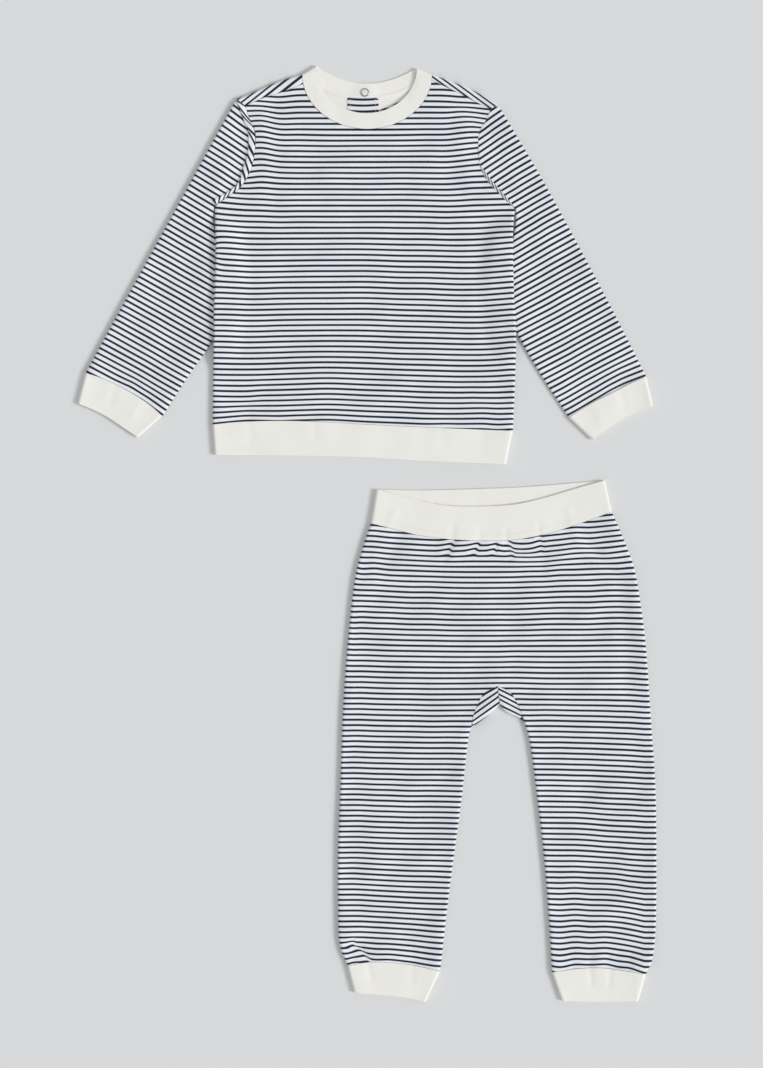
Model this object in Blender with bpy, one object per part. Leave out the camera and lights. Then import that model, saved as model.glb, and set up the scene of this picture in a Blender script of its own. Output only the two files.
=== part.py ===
"""Toddler's pyjama set, laid out flat: a striped jersey top and striped jersey trousers.

Both garments lie on their backs on a flat surface, the top above the trousers, with the front
panels lying on the back panels.  Every piece is a cloth wall.  A piece's outline is given in
millimetres as (across, down) from the garment's own reference point: the top's is level with
the neck points on its centre line, the trousers' is the middle of the waist.  Heights come from
how the layers lie: flat on each other in the middle and round at a folded edge.
"""

import math

import bmesh
import bpy
import numpy as np
from mathutils import Matrix, Vector

for old in list(bpy.data.objects):
    bpy.data.objects.remove(old)

MM = 0.001

# Where each garment's reference point lies on the surface, in millimetres (right, up the page).
TOP_AT = (-0.1, 444.2)
TROUSERS_AT = (123.9, 50.0)

# Cloth.
JERSEY = 1.3            # single jersey wall
RIB = 2.0               # rib band wall: rib folded double
SEAM_GAP = 0.3          # between neighbouring pieces
FOLD_RADIUS = 2.4       # how far in from a folded edge the cloth rounds over
EDGE_REACH = 12.0       # how far in from a folded edge the cloth stays plump
ON_PATH = 0.3           # a point this close to a folded edge is on it
SAME_POINT = 0.001      # points this close are one point

# Height of both layers together: in the middle, and at a folded edge.
JERSEY_FLAT = 3.4
JERSEY_EDGE = 5.2
TUCKED_EDGE = 3.8       # sleeve edge that is pressed under the body
RIB_FLAT = 4.5
RIB_EDGE = 5.4

# Body of the top.  The side edges run from the underarm to the hem seam.
SIDE_LEFT = [(-144.5, 134.0), (-143.5, 175.0), (-145.0, 221.5), (-145.5, 260.0), (-146.5, 340.5)]
SIDE_RIGHT = [(138.5, 346.5), (140.5, 298.5), (141.5, 253.5), (139.5, 221.5), (138.5, 175.0),
              (138.8, 152.0), (140.5, 136.5)]
ARMHOLE_LEFT = [(-144.5, 134.0), (-131.0, 124.0), (-120.0, 115.5), (-111.5, 102.5),
                (-107.5, 89.0), (-105.5, 66.0), (-111.0, 51.5), (-115.5, 38.0)]
ARMHOLE_RIGHT = [(140.5, 136.5), (127.5, 124.0), (116.0, 112.0), (108.5, 99.0), (106.0, 86.5),
                 (106.0, 64.5), (112.5, 52.5), (117.5, 41.5)]
SHOULDER_TIP_LEFT = (-124.0, 31.5)
SHOULDER_TIP_RIGHT = (124.5, 37.0)
TIP_WIDTH = 3.5         # the sleeve ends this far before the shoulder tip, so its tip is blunt
# The back panel folds forward over the shoulder, and is sewn to the front below the fold.
SHOULDER_FOLD_LEFT = [(-61.5, 8.5), (-73.5, 12.0), (-88.0, 17.0), (-112.0, 27.5), (-124.0, 31.5)]
SHOULDER_FOLD_RIGHT = [(124.5, 37.0), (117.5, 33.0), (103.5, 25.0), (86.5, 17.5), (62.0, 8.5)]
SHOULDER_SEAM_LEFT = [(-115.5, 38.0), (-98.0, 30.5), (-81.5, 25.5), (-60.6, 17.5)]
SHOULDER_SEAM_RIGHT = [(61.7, 14.0), (86.0, 25.5), (97.5, 31.5), (117.5, 41.5)]
HEM_SEAM = [(-146.5, 340.5), (-120.5, 338.0), (-77.0, 337.0), (-35.0, 338.5), (0.0, 340.5),
            (41.0, 342.5), (88.5, 344.5), (138.5, 346.5)]
HEM_EDGE = [(-144.5, 369.5), (-54.0, 370.5), (0.0, 372.0), (50.5, 375.0), (132.0, 378.5)]

# Neck.  The band's front edges are half ellipses that hang between the neck points.
NECK_POINT_LEFT = (-48.0, 0.0)
NECK_POINT_RIGHT = (47.5, 2.5)
NECK_SEAM_POINT_LEFT = (-61.5, 8.5)
NECK_SEAM_POINT_RIGHT = (62.0, 8.5)
FRONT_NECK_DEPTH = 45.5
FRONT_NECK_SEAM_DEPTH = 60.5
BACK_NECK_DEPTH = 17.0
BACK_NECK_SEAM_DEPTH = 30.0
NECK_HEIGHT = 5.2       # the band over the back panel and the facing
NECK_CLEARANCE = 1.4    # how much the front panel rises along the neck seam
NECK_CLEARANCE_LEVEL = 9.0      # it stays risen this far from the seam
NECK_CLEARANCE_RAMP = 30.0      # and comes down over this distance
# Striped facing strip inside the back neck opening.
FACING_LEFT = -18.5
FACING_RIGHT = 11.0
FACING_END = 62.0       # how far down the strip runs
FACING_WALL = 1.0

# Press snap on the back of the neckband: a ring and its pearl inside, a plain cap outside.
SNAP_AT = (-2.0, 25.5)
SNAP_DIAMETER = 8.2
SNAP_BORE = 5.4
SNAP_HEIGHT = 1.2
PEARL_DIAMETER = 4.6
PEARL_HEIGHT = 1.0
PEARL_SIDE = 0.5        # the pearl's side and shoulder, as shares of its height and radius
PEARL_SHOULDER = 0.85
PEARL_SHOULDER_RADIUS = 0.7
CAP_DIAMETER = 7.6
CAP_HEIGHT = 0.5
SNAP_SEAT_LEVEL = 5.5   # the band is lifted by the cap this far around it
SNAP_SEAT_RAMP = 8.0
SNAP_BEVEL = 0.25
SNAP_SEGMENTS = 16

# Sleeves.  Each runs from the armhole to the cuff seam; its inner edge is tucked under the body.
SLEEVE_OUTER_LEFT = [(-124.0, 31.5), (-145.5, 70.0), (-177.0, 127.5), (-229.5, 222.5),
                     (-267.0, 291.5)]
SLEEVE_INNER_LEFT = [(-194.0, 332.5), (-170.5, 296.0), (-145.5, 259.5), (-139.0, 238.0),
                     (-136.5, 213.0), (-139.0, 182.0), (-143.9, 158.0), (-145.4, 145.0),
                     (-145.0, 133.7)]
SLEEVE_OUTER_RIGHT = [(265.0, 295.0), (235.5, 236.5), (203.0, 175.0), (164.5, 104.5),
                      (124.5, 37.0)]
SLEEVE_INNER_RIGHT = [(141.0, 136.2), (140.9, 147.0), (139.0, 160.0), (133.5, 183.0),
                      (130.5, 210.0), (133.0, 234.0), (141.5, 253.5), (165.5, 294.5),
                      (191.5, 334.0)]
CUFF_SEAM_LEFT = [(-267.0, 291.5), (-249.0, 297.5), (-225.0, 309.5), (-206.0, 322.0),
                  (-194.0, 332.5)]
CUFF_SEAM_RIGHT = [(191.5, 334.0), (212.0, 321.0), (235.5, 309.0), (252.0, 300.5),
                   (265.0, 295.0)]
CUFF_EDGE_LEFT = [(-274.5, 320.5), (-250.0, 331.5), (-217.0, 353.0)]
CUFF_EDGE_RIGHT = [(213.5, 355.0), (242.0, 336.0), (271.5, 323.0)]
# The body climbs over the tucked sleeve edge along these lines.
TUCK_LEFT = [(-143.0, 168.0), (-138.0, 213.0), (-145.0, 259.0)]
TUCK_RIGHT = [(138.5, 170.0), (132.5, 210.0), (140.5, 253.0)]
TUCK_LIFT = 4.3
TUCK_FLAT = 14.0        # the body stays lifted this far from a line
TUCK_RAMP = 18.0        # and comes down over this distance

# Trousers.
OUTER_LEG_LEFT = [(-120.5, 40.5), (-128.5, 64.5), (-136.0, 95.5), (-142.5, 156.0),
                  (-147.0, 220.0), (-149.5, 295.5), (-151.5, 350.5), (-151.5, 404.5),
                  (-150.0, 439.5), (-142.5, 460.0)]
OUTER_LEG_RIGHT = [(141.0, 467.5), (147.5, 450.5), (150.5, 404.5), (150.0, 299.5),
                   (145.5, 226.5), (141.0, 161.0), (136.5, 122.5), (130.0, 84.5),
                   (119.0, 54.0), (108.5, 29.5)]
INNER_LEG_LEFT = [(-54.5, 465.0), (-48.5, 411.0), (-43.0, 367.5), (-34.5, 304.0),
                  (-28.5, 249.5), (-25.5, 235.0)]
INNER_LEG_RIGHT = [(25.0, 228.0), (30.5, 248.5), (36.5, 293.0), (44.0, 358.5), (48.5, 415.0),
                   (51.5, 466.0)]
CROTCH_EDGE_LEFT = [(-25.5, 235.0), (-17.5, 229.0), (-8.5, 222.0), (-1.0, 215.5), (1.8, 211.5)]
CROTCH_EDGE_RIGHT = [(2.2, 211.5), (5.5, 217.0), (11.0, 221.0), (18.0, 224.0), (25.0, 228.0)]
# The back panels wrap forward under the crotch and meet the front along this arch.
CROTCH_SEAM_LEFT = [(-25.5, 235.0), (-22.0, 220.0), (-16.0, 206.5), (-11.5, 200.5),
                    (-0.2, 195.0)]
CROTCH_SEAM_RIGHT = [(0.2, 195.0), (10.5, 199.5), (16.0, 206.5), (21.5, 218.0), (25.0, 228.0)]
CROTCH_WIDTH = 5.0      # the wrap starts this far along from the inner leg, so its end is blunt
WAIST_SEAM_FRONT = [(-120.5, 40.5), (-102.0, 45.0), (-73.5, 52.0), (-40.5, 56.0), (0.0, 57.0),
                    (21.5, 55.5), (50.0, 49.5), (78.5, 40.5), (108.5, 29.5)]
WAIST_SEAM_BACK = [(-120.5, 40.5), (-60.0, 43.5), (0.0, 42.0), (60.0, 36.0), (108.5, 29.5)]
WAIST_TOP_FRONT = [(-115.0, 8.0), (-92.5, 14.0), (-64.0, 21.0), (-40.5, 24.0), (-7.0, 24.0),
                   (21.5, 21.5), (50.0, 14.5), (73.5, 7.5), (102.0, -0.5)]
WAIST_TOP_BACK = [(-115.0, 8.0), (-73.5, 9.0), (-16.0, 7.5), (31.0, 5.5), (102.0, -0.5)]
ANKLE_SEAM_LEFT = [(-142.5, 460.0), (-126.0, 457.0), (-107.0, 456.5), (-83.0, 459.0),
                   (-54.5, 465.0)]
ANKLE_SEAM_RIGHT = [(51.5, 466.0), (73.5, 463.0), (97.5, 462.0), (121.0, 465.0), (141.0, 467.5)]
ANKLE_EDGE_LEFT = [(-136.0, 485.5), (-92.5, 489.5), (-68.0, 494.2)]
ANKLE_EDGE_RIGHT = [(61.0, 493.5), (97.0, 494.2), (133.5, 493.5)]

# Mesh spacing: how many steps each run is cut into.
SIDE_STEPS = 6
ARMHOLE_STEPS = 6
SHOULDER_STEPS = 2
NECK_STEPS = 10
SLEEVE_STEPS = 6
SLEEVE_STEPS_ACROSS = 4
CUFF_STEPS = 2
LEG_STEPS_ACROSS = 4
LEG_STEPS = 8
CROTCH_STEPS = 4
HIP_STEPS = 5
BAND_STEPS_ACROSS = 12
FACING_STEPS = 4
WRAP_STEPS = 1
CURVE_STEPS = 8

# Distances in from a folded edge where the rounded cloth needs a line of points.
ROUND = (FOLD_RADIUS * (1 - math.cos(math.pi / 4)), FOLD_RADIUS)
ROUND_AND_TUCK = ROUND + (TUCK_FLAT, TUCK_FLAT + TUCK_RAMP)

CREAM = (0.84, 0.82, 0.77)
STRIPED = (0.66, 0.68, 0.73)
STEEL = (0.62, 0.61, 0.60)
PEARL = (0.88, 0.87, 0.85)
CLOTH_ROUGHNESS = 0.9
STEEL_ROUGHNESS = 0.3
PEARL_ROUGHNESS = 0.25
SHARP_ANGLE = 40        # edges sharper than this many degrees are shaded sharp


# ---------------------------------------------------------------- outlines


def smooth(points):
    """A smooth curve through the points, as closely spaced points."""
    points = np.asarray(points, float)
    if len(points) == 2:
        return points
    ends = [2 * points[0] - points[1], *points, 2 * points[-1] - points[-2]]
    curve = [points[0]]
    for a, b, c, d in zip(ends, ends[1:], ends[2:], ends[3:]):
        for step in range(1, CURVE_STEPS + 1):
            t = step / CURVE_STEPS
            curve.append(0.5 * (2 * b + (c - a) * t + (2 * a - 5 * b + 4 * c - d) * t ** 2
                                + (3 * b - a - 3 * c + d) * t ** 3))
    return np.array(curve)


def run(points, steps, start=(), end=()):
    """Points along a smooth curve: evenly spaced, but at the given distances near the ends."""
    curve = smooth(points)
    along = np.concatenate([[0], np.cumsum(np.linalg.norm(np.diff(curve, axis=0), axis=1))])
    first = start[-1] if start else 0.0
    last = along[-1] - (end[-1] if end else 0.0)
    stops = [0.0, *start[:-1]] if start else []
    stops += list(np.linspace(first, last, steps + 1))
    stops += [along[-1] - gap for gap in reversed(end[:-1])] + [along[-1]] if end else []
    return np.array([[np.interp(s, along, curve[:, k]) for k in (0, 1)] for s in stops])


def chain(*runs):
    """Runs joined end to end, each starting where the last one stops."""
    return np.concatenate([runs[0]] + [part[1:] for part in runs[1:]])


def arch(left, right, depth, power):
    """A neck edge hanging between two points: power 2 is a half ellipse, 1 is shallower."""
    curve = []
    for step in range(4 * CURVE_STEPS + 1):
        t = step / (4 * CURVE_STEPS)
        swing = -math.cos(math.pi * t)
        base = left[1] + (right[1] - left[1]) * t
        drop = (1 - swing ** 2) ** (1 / power)
        across = (left[0] + right[0]) / 2 + swing * (right[0] - left[0]) / 2
        curve.append((across, base + (depth - base) * drop))
    return curve


def moved(points, distance):
    """The curve moved sideways, to its right as one walks along it on the page."""
    points = np.asarray(points, float)
    ahead = np.gradient(points, axis=0)
    ahead /= np.linalg.norm(ahead, axis=1)[:, None]
    return points + distance * np.stack([-ahead[:, 1], ahead[:, 0]], axis=1)


def fill(bottom, top, left, right):
    """A grid of points between four border runs; left and right go from bottom to top."""
    def shares(border):
        steps = np.linalg.norm(np.diff(border, axis=0), axis=1)
        if steps.sum() == 0:
            return np.linspace(0, 1, len(border))
        return np.concatenate([[0], np.cumsum(steps)]) / steps.sum()

    rows = ((shares(left) + shares(right)) / 2)[:, None]
    cols = (1 - rows) * shares(bottom)[None, :] + rows * shares(top)[None, :]
    v, u = rows[:, :, None], cols[:, :, None]
    bottom_bow = bottom[None] - (1 - u) * bottom[0] - u * bottom[-1]
    top_bow = top[None] - (1 - u) * top[0] - u * top[-1]
    straight = (1 - u) * left[:, None] + u * right[:, None]
    return straight + (1 - v) * bottom_bow + v * top_bow


def rounded(stations):
    """A run with the rounded cloth's extra points added near both ends."""
    return chain(run(stations[:2], 1, ROUND), stations[1:-1], run(stations[-2:], 1, (), ROUND))


def between(curve, first, last):
    """The part of a curve between two points that lie on it."""
    curve = smooth(curve)
    start, stop = (np.linalg.norm(curve - point, axis=1).argmin() for point in (first, last))
    return np.array([first, *curve[start + 1:stop], last])


# ---------------------------------------------------------------- how the layers lie


def nearest(points, path):
    """Each point's distance to a path, and the direction from the cloth out over the path."""
    path = np.asarray(path, float)
    starts, spans = path[:-1], np.diff(path, axis=0)
    keep = np.linalg.norm(spans, axis=1) > 1e-9
    starts, spans = starts[keep], spans[keep]
    offset = points[..., None, :] - starts
    share = np.clip((offset * spans).sum(-1) / (spans ** 2).sum(-1), 0, 1)
    away = starts + share[..., None] * spans - points[..., None, :]
    distance = np.linalg.norm(away, axis=-1)
    best = distance.argmin(-1)
    distance = np.take_along_axis(distance, best[..., None], -1)[..., 0]
    away = np.take_along_axis(away, best[..., None, None], -2)[..., 0, :]
    side = np.stack([-spans[:, 1], spans[:, 0]], axis=1)
    side = (side / np.linalg.norm(side, axis=1)[:, None])[best]
    on_path = distance < ON_PATH
    out = np.where(on_path[..., None], side, away / np.maximum(distance, ON_PATH)[..., None])
    return distance, out


class Lay:
    """How two layers of cloth lie: folded edges, thickness, and what they climb over."""

    def __init__(self, flat, folds, bulges=(), lifts=()):
        self.flat = flat
        self.folds = [(smooth(path), height) for path, height in folds]
        self.bulges = bulges
        self.lifts = lifts

    def levels(self, points):
        """Heights of the underside and of the top side, away from the rounded edge."""
        extra = np.zeros(points.shape[:-1])
        for path, height in self.folds:
            distance = nearest(points, path)[0]
            extra = np.maximum(extra, (height - self.flat) * np.exp(-(distance / EDGE_REACH) ** 2))
        for path, height, level, ramp in self.bulges:
            extra = np.maximum(extra, height * slope(points, path, level, ramp))
        low = np.zeros(points.shape[:-1])
        for path, height, level, ramp in self.lifts:
            low = np.maximum(low, height * slope(points, path, level, ramp))
        return low, low + self.flat + extra

    def sheet(self, points, side, wall, gap=0.0, seams=()):
        """Outer and inner points of a cloth wall: side is 1 for the upper layer, -1 for the lower.

        A lower layer ends half-way up its folded edges.  An upper layer that is a piece of its
        own stays a gap above that, and one that is the same piece has no gap.  The wall is set
        in along a seam where it crosses a folded edge, so that it stays on its side of the seam.
        """
        low, high = self.levels(points)
        distance, out = nearest(points, self.folds[0][0])
        for path, _ in self.folds[1:]:
            other, other_out = nearest(points, path)
            closer = other < distance
            out = np.where(closer[..., None], other_out, out)
            distance = np.where(closer, other, distance)
        half = (high - low) / 2 - gap
        start = (high + low) / 2 + side * gap
        inward = np.clip(1 - distance / FOLD_RADIUS, 0, 1)
        upward = np.sqrt(1 - inward ** 2)
        height = start + side * half * upward
        normal = np.concatenate([out * (inward / FOLD_RADIUS)[..., None],
                                 (side * upward / half)[..., None]], axis=-1)
        normal /= np.linalg.norm(normal, axis=-1)[..., None]
        plan = normal[..., :2].copy()
        for seam in seams:
            along = np.gradient(np.asarray(seam, float), axis=0)
            along /= np.linalg.norm(along, axis=1)[:, None]
            apart = np.linalg.norm(points[..., None, :] - seam, axis=-1)
            place, on_seam = apart.argmin(-1), apart.min(-1) < SAME_POINT
            share = (plan * along[place]).sum(-1)
            share = np.where(place == 0, -np.linalg.norm(plan, axis=-1), share)
            share = np.where(place == len(along) - 1, np.linalg.norm(plan, axis=-1), share)
            set_in = share[..., None] * along[place]
            normal[..., :2] = np.where(on_seam[..., None], set_in, normal[..., :2])
        outer = np.concatenate([points, height[..., None]], axis=-1)
        return outer, outer - wall * normal


def slope(points, path, level, ramp):
    """1 within a level distance of a path, falling smoothly to 0 over the ramp beyond it."""
    share = np.clip((nearest(points, path)[0] - level) / ramp, 0, 1)
    return 1 - share ** 2 * (3 - 2 * share)


# ---------------------------------------------------------------- solids


def material(name, colour, roughness, metallic=0.0):
    """A plain Principled material."""
    made = bpy.data.materials.new(name)
    made.use_nodes = True
    shader = made.node_tree.nodes["Principled BSDF"]
    shader.inputs["Base Color"].default_value = (*colour, 1.0)
    shader.inputs["Roughness"].default_value = roughness
    shader.inputs["Metallic"].default_value = metallic
    return made


def add_object(name, mesh, colour, roughness=CLOTH_ROUGHNESS, metallic=0.0):
    """Put a mesh in the scene as a named piece, with its own material."""
    mesh.materials.append(material(name, colour, roughness, metallic))
    mesh.shade_smooth()
    mesh.set_sharp_from_angle(angle=math.radians(SHARP_ANGLE))
    made = bpy.data.objects.new(name, mesh)
    bpy.context.scene.collection.objects.link(made)
    return made


def cloth(name, sheets, at, colour):
    """One closed cloth wall from sheets of outer and inner points that meet at shared edges."""
    numbers, outer_points, inner_points, faces = {}, [], [], []
    for outer, inner in sheets:
        rows, cols = outer.shape[:2]
        index = np.zeros((rows, cols), int)
        for i in range(rows):
            for j in range(cols):
                key = tuple(np.round(outer[i, j], 2))
                if key not in numbers:
                    numbers[key] = len(outer_points)
                    outer_points.append(outer[i, j])
                    inner_points.append(inner[i, j])
                index[i, j] = numbers[key]
        for i in range(rows - 1):
            for j in range(cols - 1):
                a, b, c, d = index[i, j], index[i, j + 1], index[i + 1, j + 1], index[i + 1, j]
                across = np.linalg.norm(outer_points[a] - outer_points[c])
                back_across = np.linalg.norm(outer_points[b] - outer_points[d])
                halves = ((a, b, c), (a, c, d)) if across < back_across else ((b, c, d), (b, d, a))
                faces += [list(half) for half in halves if len(set(half)) == 3]

    shell = bmesh.new()
    place = [Vector(((at[0] + x) * MM, (at[1] - down) * MM, z * MM))
             for x, down, z in outer_points + inner_points]
    verts = [shell.verts.new(point) for point in place]
    count = len(outer_points)
    uses = {}
    for ring in faces:
        shell.faces.new([verts[k] for k in ring])
        shell.faces.new([verts[k + count] for k in reversed(ring)])
        for a, b in zip(ring, ring[1:] + ring[:1]):
            uses.setdefault(frozenset((a, b)), []).append((a, b))
    for pairs in uses.values():
        if len(pairs) == 1:
            a, b = pairs[0]
            if (place[a] - place[b + count]).length < (place[b] - place[a + count]).length:
                shell.faces.new([verts[b], verts[a], verts[b + count]])
                shell.faces.new([verts[a], verts[a + count], verts[b + count]])
            else:
                shell.faces.new([verts[b], verts[a], verts[a + count]])
                shell.faces.new([verts[b], verts[a + count], verts[b + count]])
    bmesh.ops.recalc_face_normals(shell, faces=shell.faces)
    mesh = bpy.data.meshes.new(name)
    shell.to_mesh(mesh)
    shell.free()
    return add_object(name, mesh, colour)


def turned(name, profile, at, colour, roughness, metallic, ring=False):
    """A round trim turned from (radius, height) points; a ring's profile closes on itself."""
    shell = bmesh.new()
    verts = [shell.verts.new((radius * MM, 0, height * MM)) for radius, height in profile]
    ends = verts[1:] + verts[:1] if ring else verts[1:]
    edges = [shell.edges.new(pair) for pair in zip(verts, ends)]
    bmesh.ops.spin(shell, geom=verts + edges, cent=(0, 0, 0), axis=(0, 0, 1),
                   angle=2 * math.pi, steps=SNAP_SEGMENTS)
    bmesh.ops.remove_doubles(shell, verts=shell.verts, dist=0.001 * MM)
    bmesh.ops.recalc_face_normals(shell, faces=shell.faces)
    bmesh.ops.transform(shell, matrix=Matrix.Translation(
        ((TOP_AT[0] + at[0]) * MM, (TOP_AT[1] - at[1]) * MM, 0)), verts=shell.verts)
    mesh = bpy.data.meshes.new(name)
    shell.to_mesh(mesh)
    shell.free()
    return add_object(name, mesh, colour, roughness, metallic)


def tube(name, upper, lower, lay, wall, at, colour, seams):
    """A flattened tube: an upper and a lower layer that are one piece at both folded edges."""
    layers = ((upper, 1), (lower, -1))
    cloth(name, [lay.sheet(grid, side, wall, seams=seams) for grid, side in layers], at, colour)


# ---------------------------------------------------------------- the top


FRONT_NECK_SEAM = arch(NECK_SEAM_POINT_LEFT, NECK_SEAM_POINT_RIGHT, FRONT_NECK_SEAM_DEPTH, 2)
FRONT_NECK_EDGE = arch(NECK_POINT_LEFT, NECK_POINT_RIGHT, FRONT_NECK_DEPTH, 2)
BACK_NECK_SEAM = arch(NECK_SEAM_POINT_LEFT, NECK_SEAM_POINT_RIGHT, BACK_NECK_SEAM_DEPTH, 1)
BACK_NECK_EDGE = arch(NECK_POINT_LEFT, NECK_POINT_RIGHT, BACK_NECK_DEPTH, 1)

BODY_LAY = Lay(
    JERSEY_FLAT,
    folds=[(path, JERSEY_EDGE)
           for path in (SIDE_LEFT, SIDE_RIGHT, SHOULDER_FOLD_LEFT, SHOULDER_FOLD_RIGHT)],
    bulges=[(FRONT_NECK_SEAM, NECK_CLEARANCE, NECK_CLEARANCE_LEVEL, NECK_CLEARANCE_RAMP)],
    lifts=[(path, TUCK_LIFT, TUCK_FLAT, TUCK_RAMP) for path in (TUCK_LEFT, TUCK_RIGHT)])


def armhole(left):
    """The armhole from the underarm to the shoulder seam, and on to the shoulder tip."""
    edge, tip = (ARMHOLE_LEFT, SHOULDER_TIP_LEFT) if left else (ARMHOLE_RIGHT, SHOULDER_TIP_RIGHT)
    return run(edge, ARMHOLE_STEPS), run([edge[-1], tip], WRAP_STEPS, (), ROUND)


def front_neck():
    """The front neck seam in three runs: the middle one is the front panel's."""
    ends = (FRONT_NECK_SEAM[0], SHOULDER_SEAM_LEFT[-1], SHOULDER_SEAM_RIGHT[0], FRONT_NECK_SEAM[-1])
    left, middle, right = (between(FRONT_NECK_SEAM, *pair) for pair in zip(ends, ends[1:]))
    return run(left, 1), run(middle, NECK_STEPS), run(right, 1)


def back_neck():
    """The back neck seam."""
    return run(BACK_NECK_SEAM, NECK_STEPS + 2)


def top_front():
    """Front panel: hem seam, sides, armholes, shoulder seams and neck seam."""
    left_shoulder = moved(run(SHOULDER_SEAM_LEFT, SHOULDER_STEPS, ROUND_AND_TUCK), SEAM_GAP)
    right_shoulder = moved(run(SHOULDER_SEAM_RIGHT, SHOULDER_STEPS, (), ROUND_AND_TUCK), SEAM_GAP)
    neck = front_neck()[1]
    neck[0], neck[-1] = left_shoulder[-1], right_shoulder[0]
    top = chain(left_shoulder, neck, right_shoulder)
    hem = run(HEM_SEAM, 2 * SHOULDER_STEPS + NECK_STEPS, ROUND_AND_TUCK, ROUND_AND_TUCK)
    armhole_left, armhole_right = armhole(True)[0], armhole(False)[0]
    left = chain(run(SIDE_LEFT[::-1], SIDE_STEPS), armhole_left)
    right = chain(run(SIDE_RIGHT, SIDE_STEPS), armhole_right)
    left[-1], right[-1] = top[0], top[-1]
    grid = fill(hem, top, left, right)
    seams = (hem, top, armhole_left, armhole_right)
    cloth("top_front", [BODY_LAY.sheet(grid, 1, JERSEY, SEAM_GAP, seams)], TOP_AT, STRIPED)


def top_back():
    """Back panel, whose shoulders fold forward to the shoulder seams."""
    upright, hem_points = [], smooth(HEM_SEAM)
    for across, down in (NECK_SEAM_POINT_LEFT, NECK_SEAM_POINT_RIGHT):
        hem_point = (across, np.interp(across, *hem_points.T))
        underarm = (across, SIDE_LEFT[0][1])
        upright.append(chain(run([hem_point, underarm], SIDE_STEPS),
                             run([underarm, (across, down)], ARMHOLE_STEPS + WRAP_STEPS, (),
                                 ROUND)))
    hem_left = run(between(hem_points, hem_points[0], upright[0][0]), SHOULDER_STEPS,
                   ROUND_AND_TUCK)
    hem_middle = run(between(hem_points, upright[0][0], upright[1][0]), len(back_neck()) - 1)
    hem_right = run(between(hem_points, upright[1][0], hem_points[-1]), SHOULDER_STEPS, (),
                    ROUND_AND_TUCK)
    armhole_left, armhole_right = chain(*armhole(True)), chain(*armhole(False))
    left = chain(run(SIDE_LEFT[::-1], SIDE_STEPS), armhole_left)
    right = chain(run(SIDE_RIGHT, SIDE_STEPS), armhole_right)
    fold_left = run(SHOULDER_FOLD_LEFT[::-1], SHOULDER_STEPS, ROUND_AND_TUCK)
    fold_right = run(SHOULDER_FOLD_RIGHT[::-1], SHOULDER_STEPS, (), ROUND_AND_TUCK)
    lower = [fill(hem_left, fold_left, left, upright[0]),
             fill(hem_middle, back_neck(), *upright),
             fill(hem_right, fold_right, upright[1], right)]
    seam_left = run(SHOULDER_SEAM_LEFT, SHOULDER_STEPS, ROUND_AND_TUCK)
    seam_right = run(SHOULDER_SEAM_RIGHT, SHOULDER_STEPS, (), ROUND_AND_TUCK)
    ends_left, ends_right = ([run([seam[end], fold[end]], WRAP_STEPS, (), ROUND)
                              for end in (0, -1)]
                             for seam, fold in ((seam_left, fold_left), (seam_right, fold_right)))
    upper = [fill(seam_left, fold_left, *ends_left), fill(seam_right, fold_right, *ends_right)]
    seams = (hem_left, hem_right, armhole_left, armhole_right, seam_left, seam_right,
             back_neck(), ends_left[1], ends_right[0])
    cloth("top_back", [BODY_LAY.sheet(grid, -1, JERSEY, seams=seams) for grid in lower]
          + [BODY_LAY.sheet(grid, 1, JERSEY, seams=seams) for grid in upper], TOP_AT, STRIPED)


def sleeve(name, left, outer, inner, cuff_seam):
    """A sleeve from its cuff seam up to the blunt tip where its armhole meets its outer fold.

    Its outer and inner edges are folds.  Rows run across the arm: from the inner edge below the
    underarm, and from the armhole above it, to the outer edge.
    """
    edge, tip = armhole(left)
    tip = run(tip[[0, -1]], WRAP_STEPS, (), (TIP_WIDTH,))[:-1]
    mouth = moved(chain(edge, tip), -SEAM_GAP if left else SEAM_GAP)
    inner = [*inner[:-1], mouth[0]]
    outer_curve = smooth(outer)
    level = outer_curve[np.linalg.norm(outer_curve - mouth[0], axis=1).argmin()]
    inner_run = chain(run(inner, SLEEVE_STEPS), mouth)
    outer_run = chain(run(between(outer_curve, outer_curve[0], level), SLEEVE_STEPS),
                      run(between(outer_curve, level, outer_curve[-1]), len(mouth) - 1, (),
                          (TIP_WIDTH,))[:-1])
    cuff_seam = run(cuff_seam, SLEEVE_STEPS_ACROSS, ROUND, ROUND)
    ends = (outer_run[-1], inner_run[-1]) if left else (inner_run[-1], outer_run[-1])
    blunt = np.linspace(*ends, len(cuff_seam))
    sides = (outer_run, inner_run) if left else (inner_run, outer_run)
    grid = fill(cuff_seam, blunt, *sides)
    folds = [(outer_run[::-1], JERSEY_EDGE), (inner, TUCKED_EDGE)]
    if not left:
        folds = [(outer_run, JERSEY_EDGE), (inner[::-1], TUCKED_EDGE)]
    tube(name, grid, grid, Lay(JERSEY_FLAT, folds), JERSEY, TOP_AT, STRIPED,
         (cuff_seam, blunt))


def band(name, upper, lower, flat, rows, at, lifts=()):
    """A rib band from its two layers' runs; each layer is a pair of left-to-right runs."""
    sides = [run([upper[0][end], upper[1][end]], rows) for end in (0, -1)]
    lay = Lay(flat, [(sides[0][::-1], RIB_EDGE), (sides[1], RIB_EDGE)], lifts=lifts)
    tube(name, fill(*upper, *sides), fill(*lower, *sides), lay, RIB, at, CREAM, upper + lower)


def plain_band(name, edge, seam, steps, at):
    """A rib band below a seam, with both layers the same."""
    layer = (run(edge, steps, ROUND, ROUND), moved(run(seam, steps, ROUND, ROUND), SEAM_GAP))
    band(name, layer, layer, RIB_FLAT, CUFF_STEPS, at)


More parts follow.
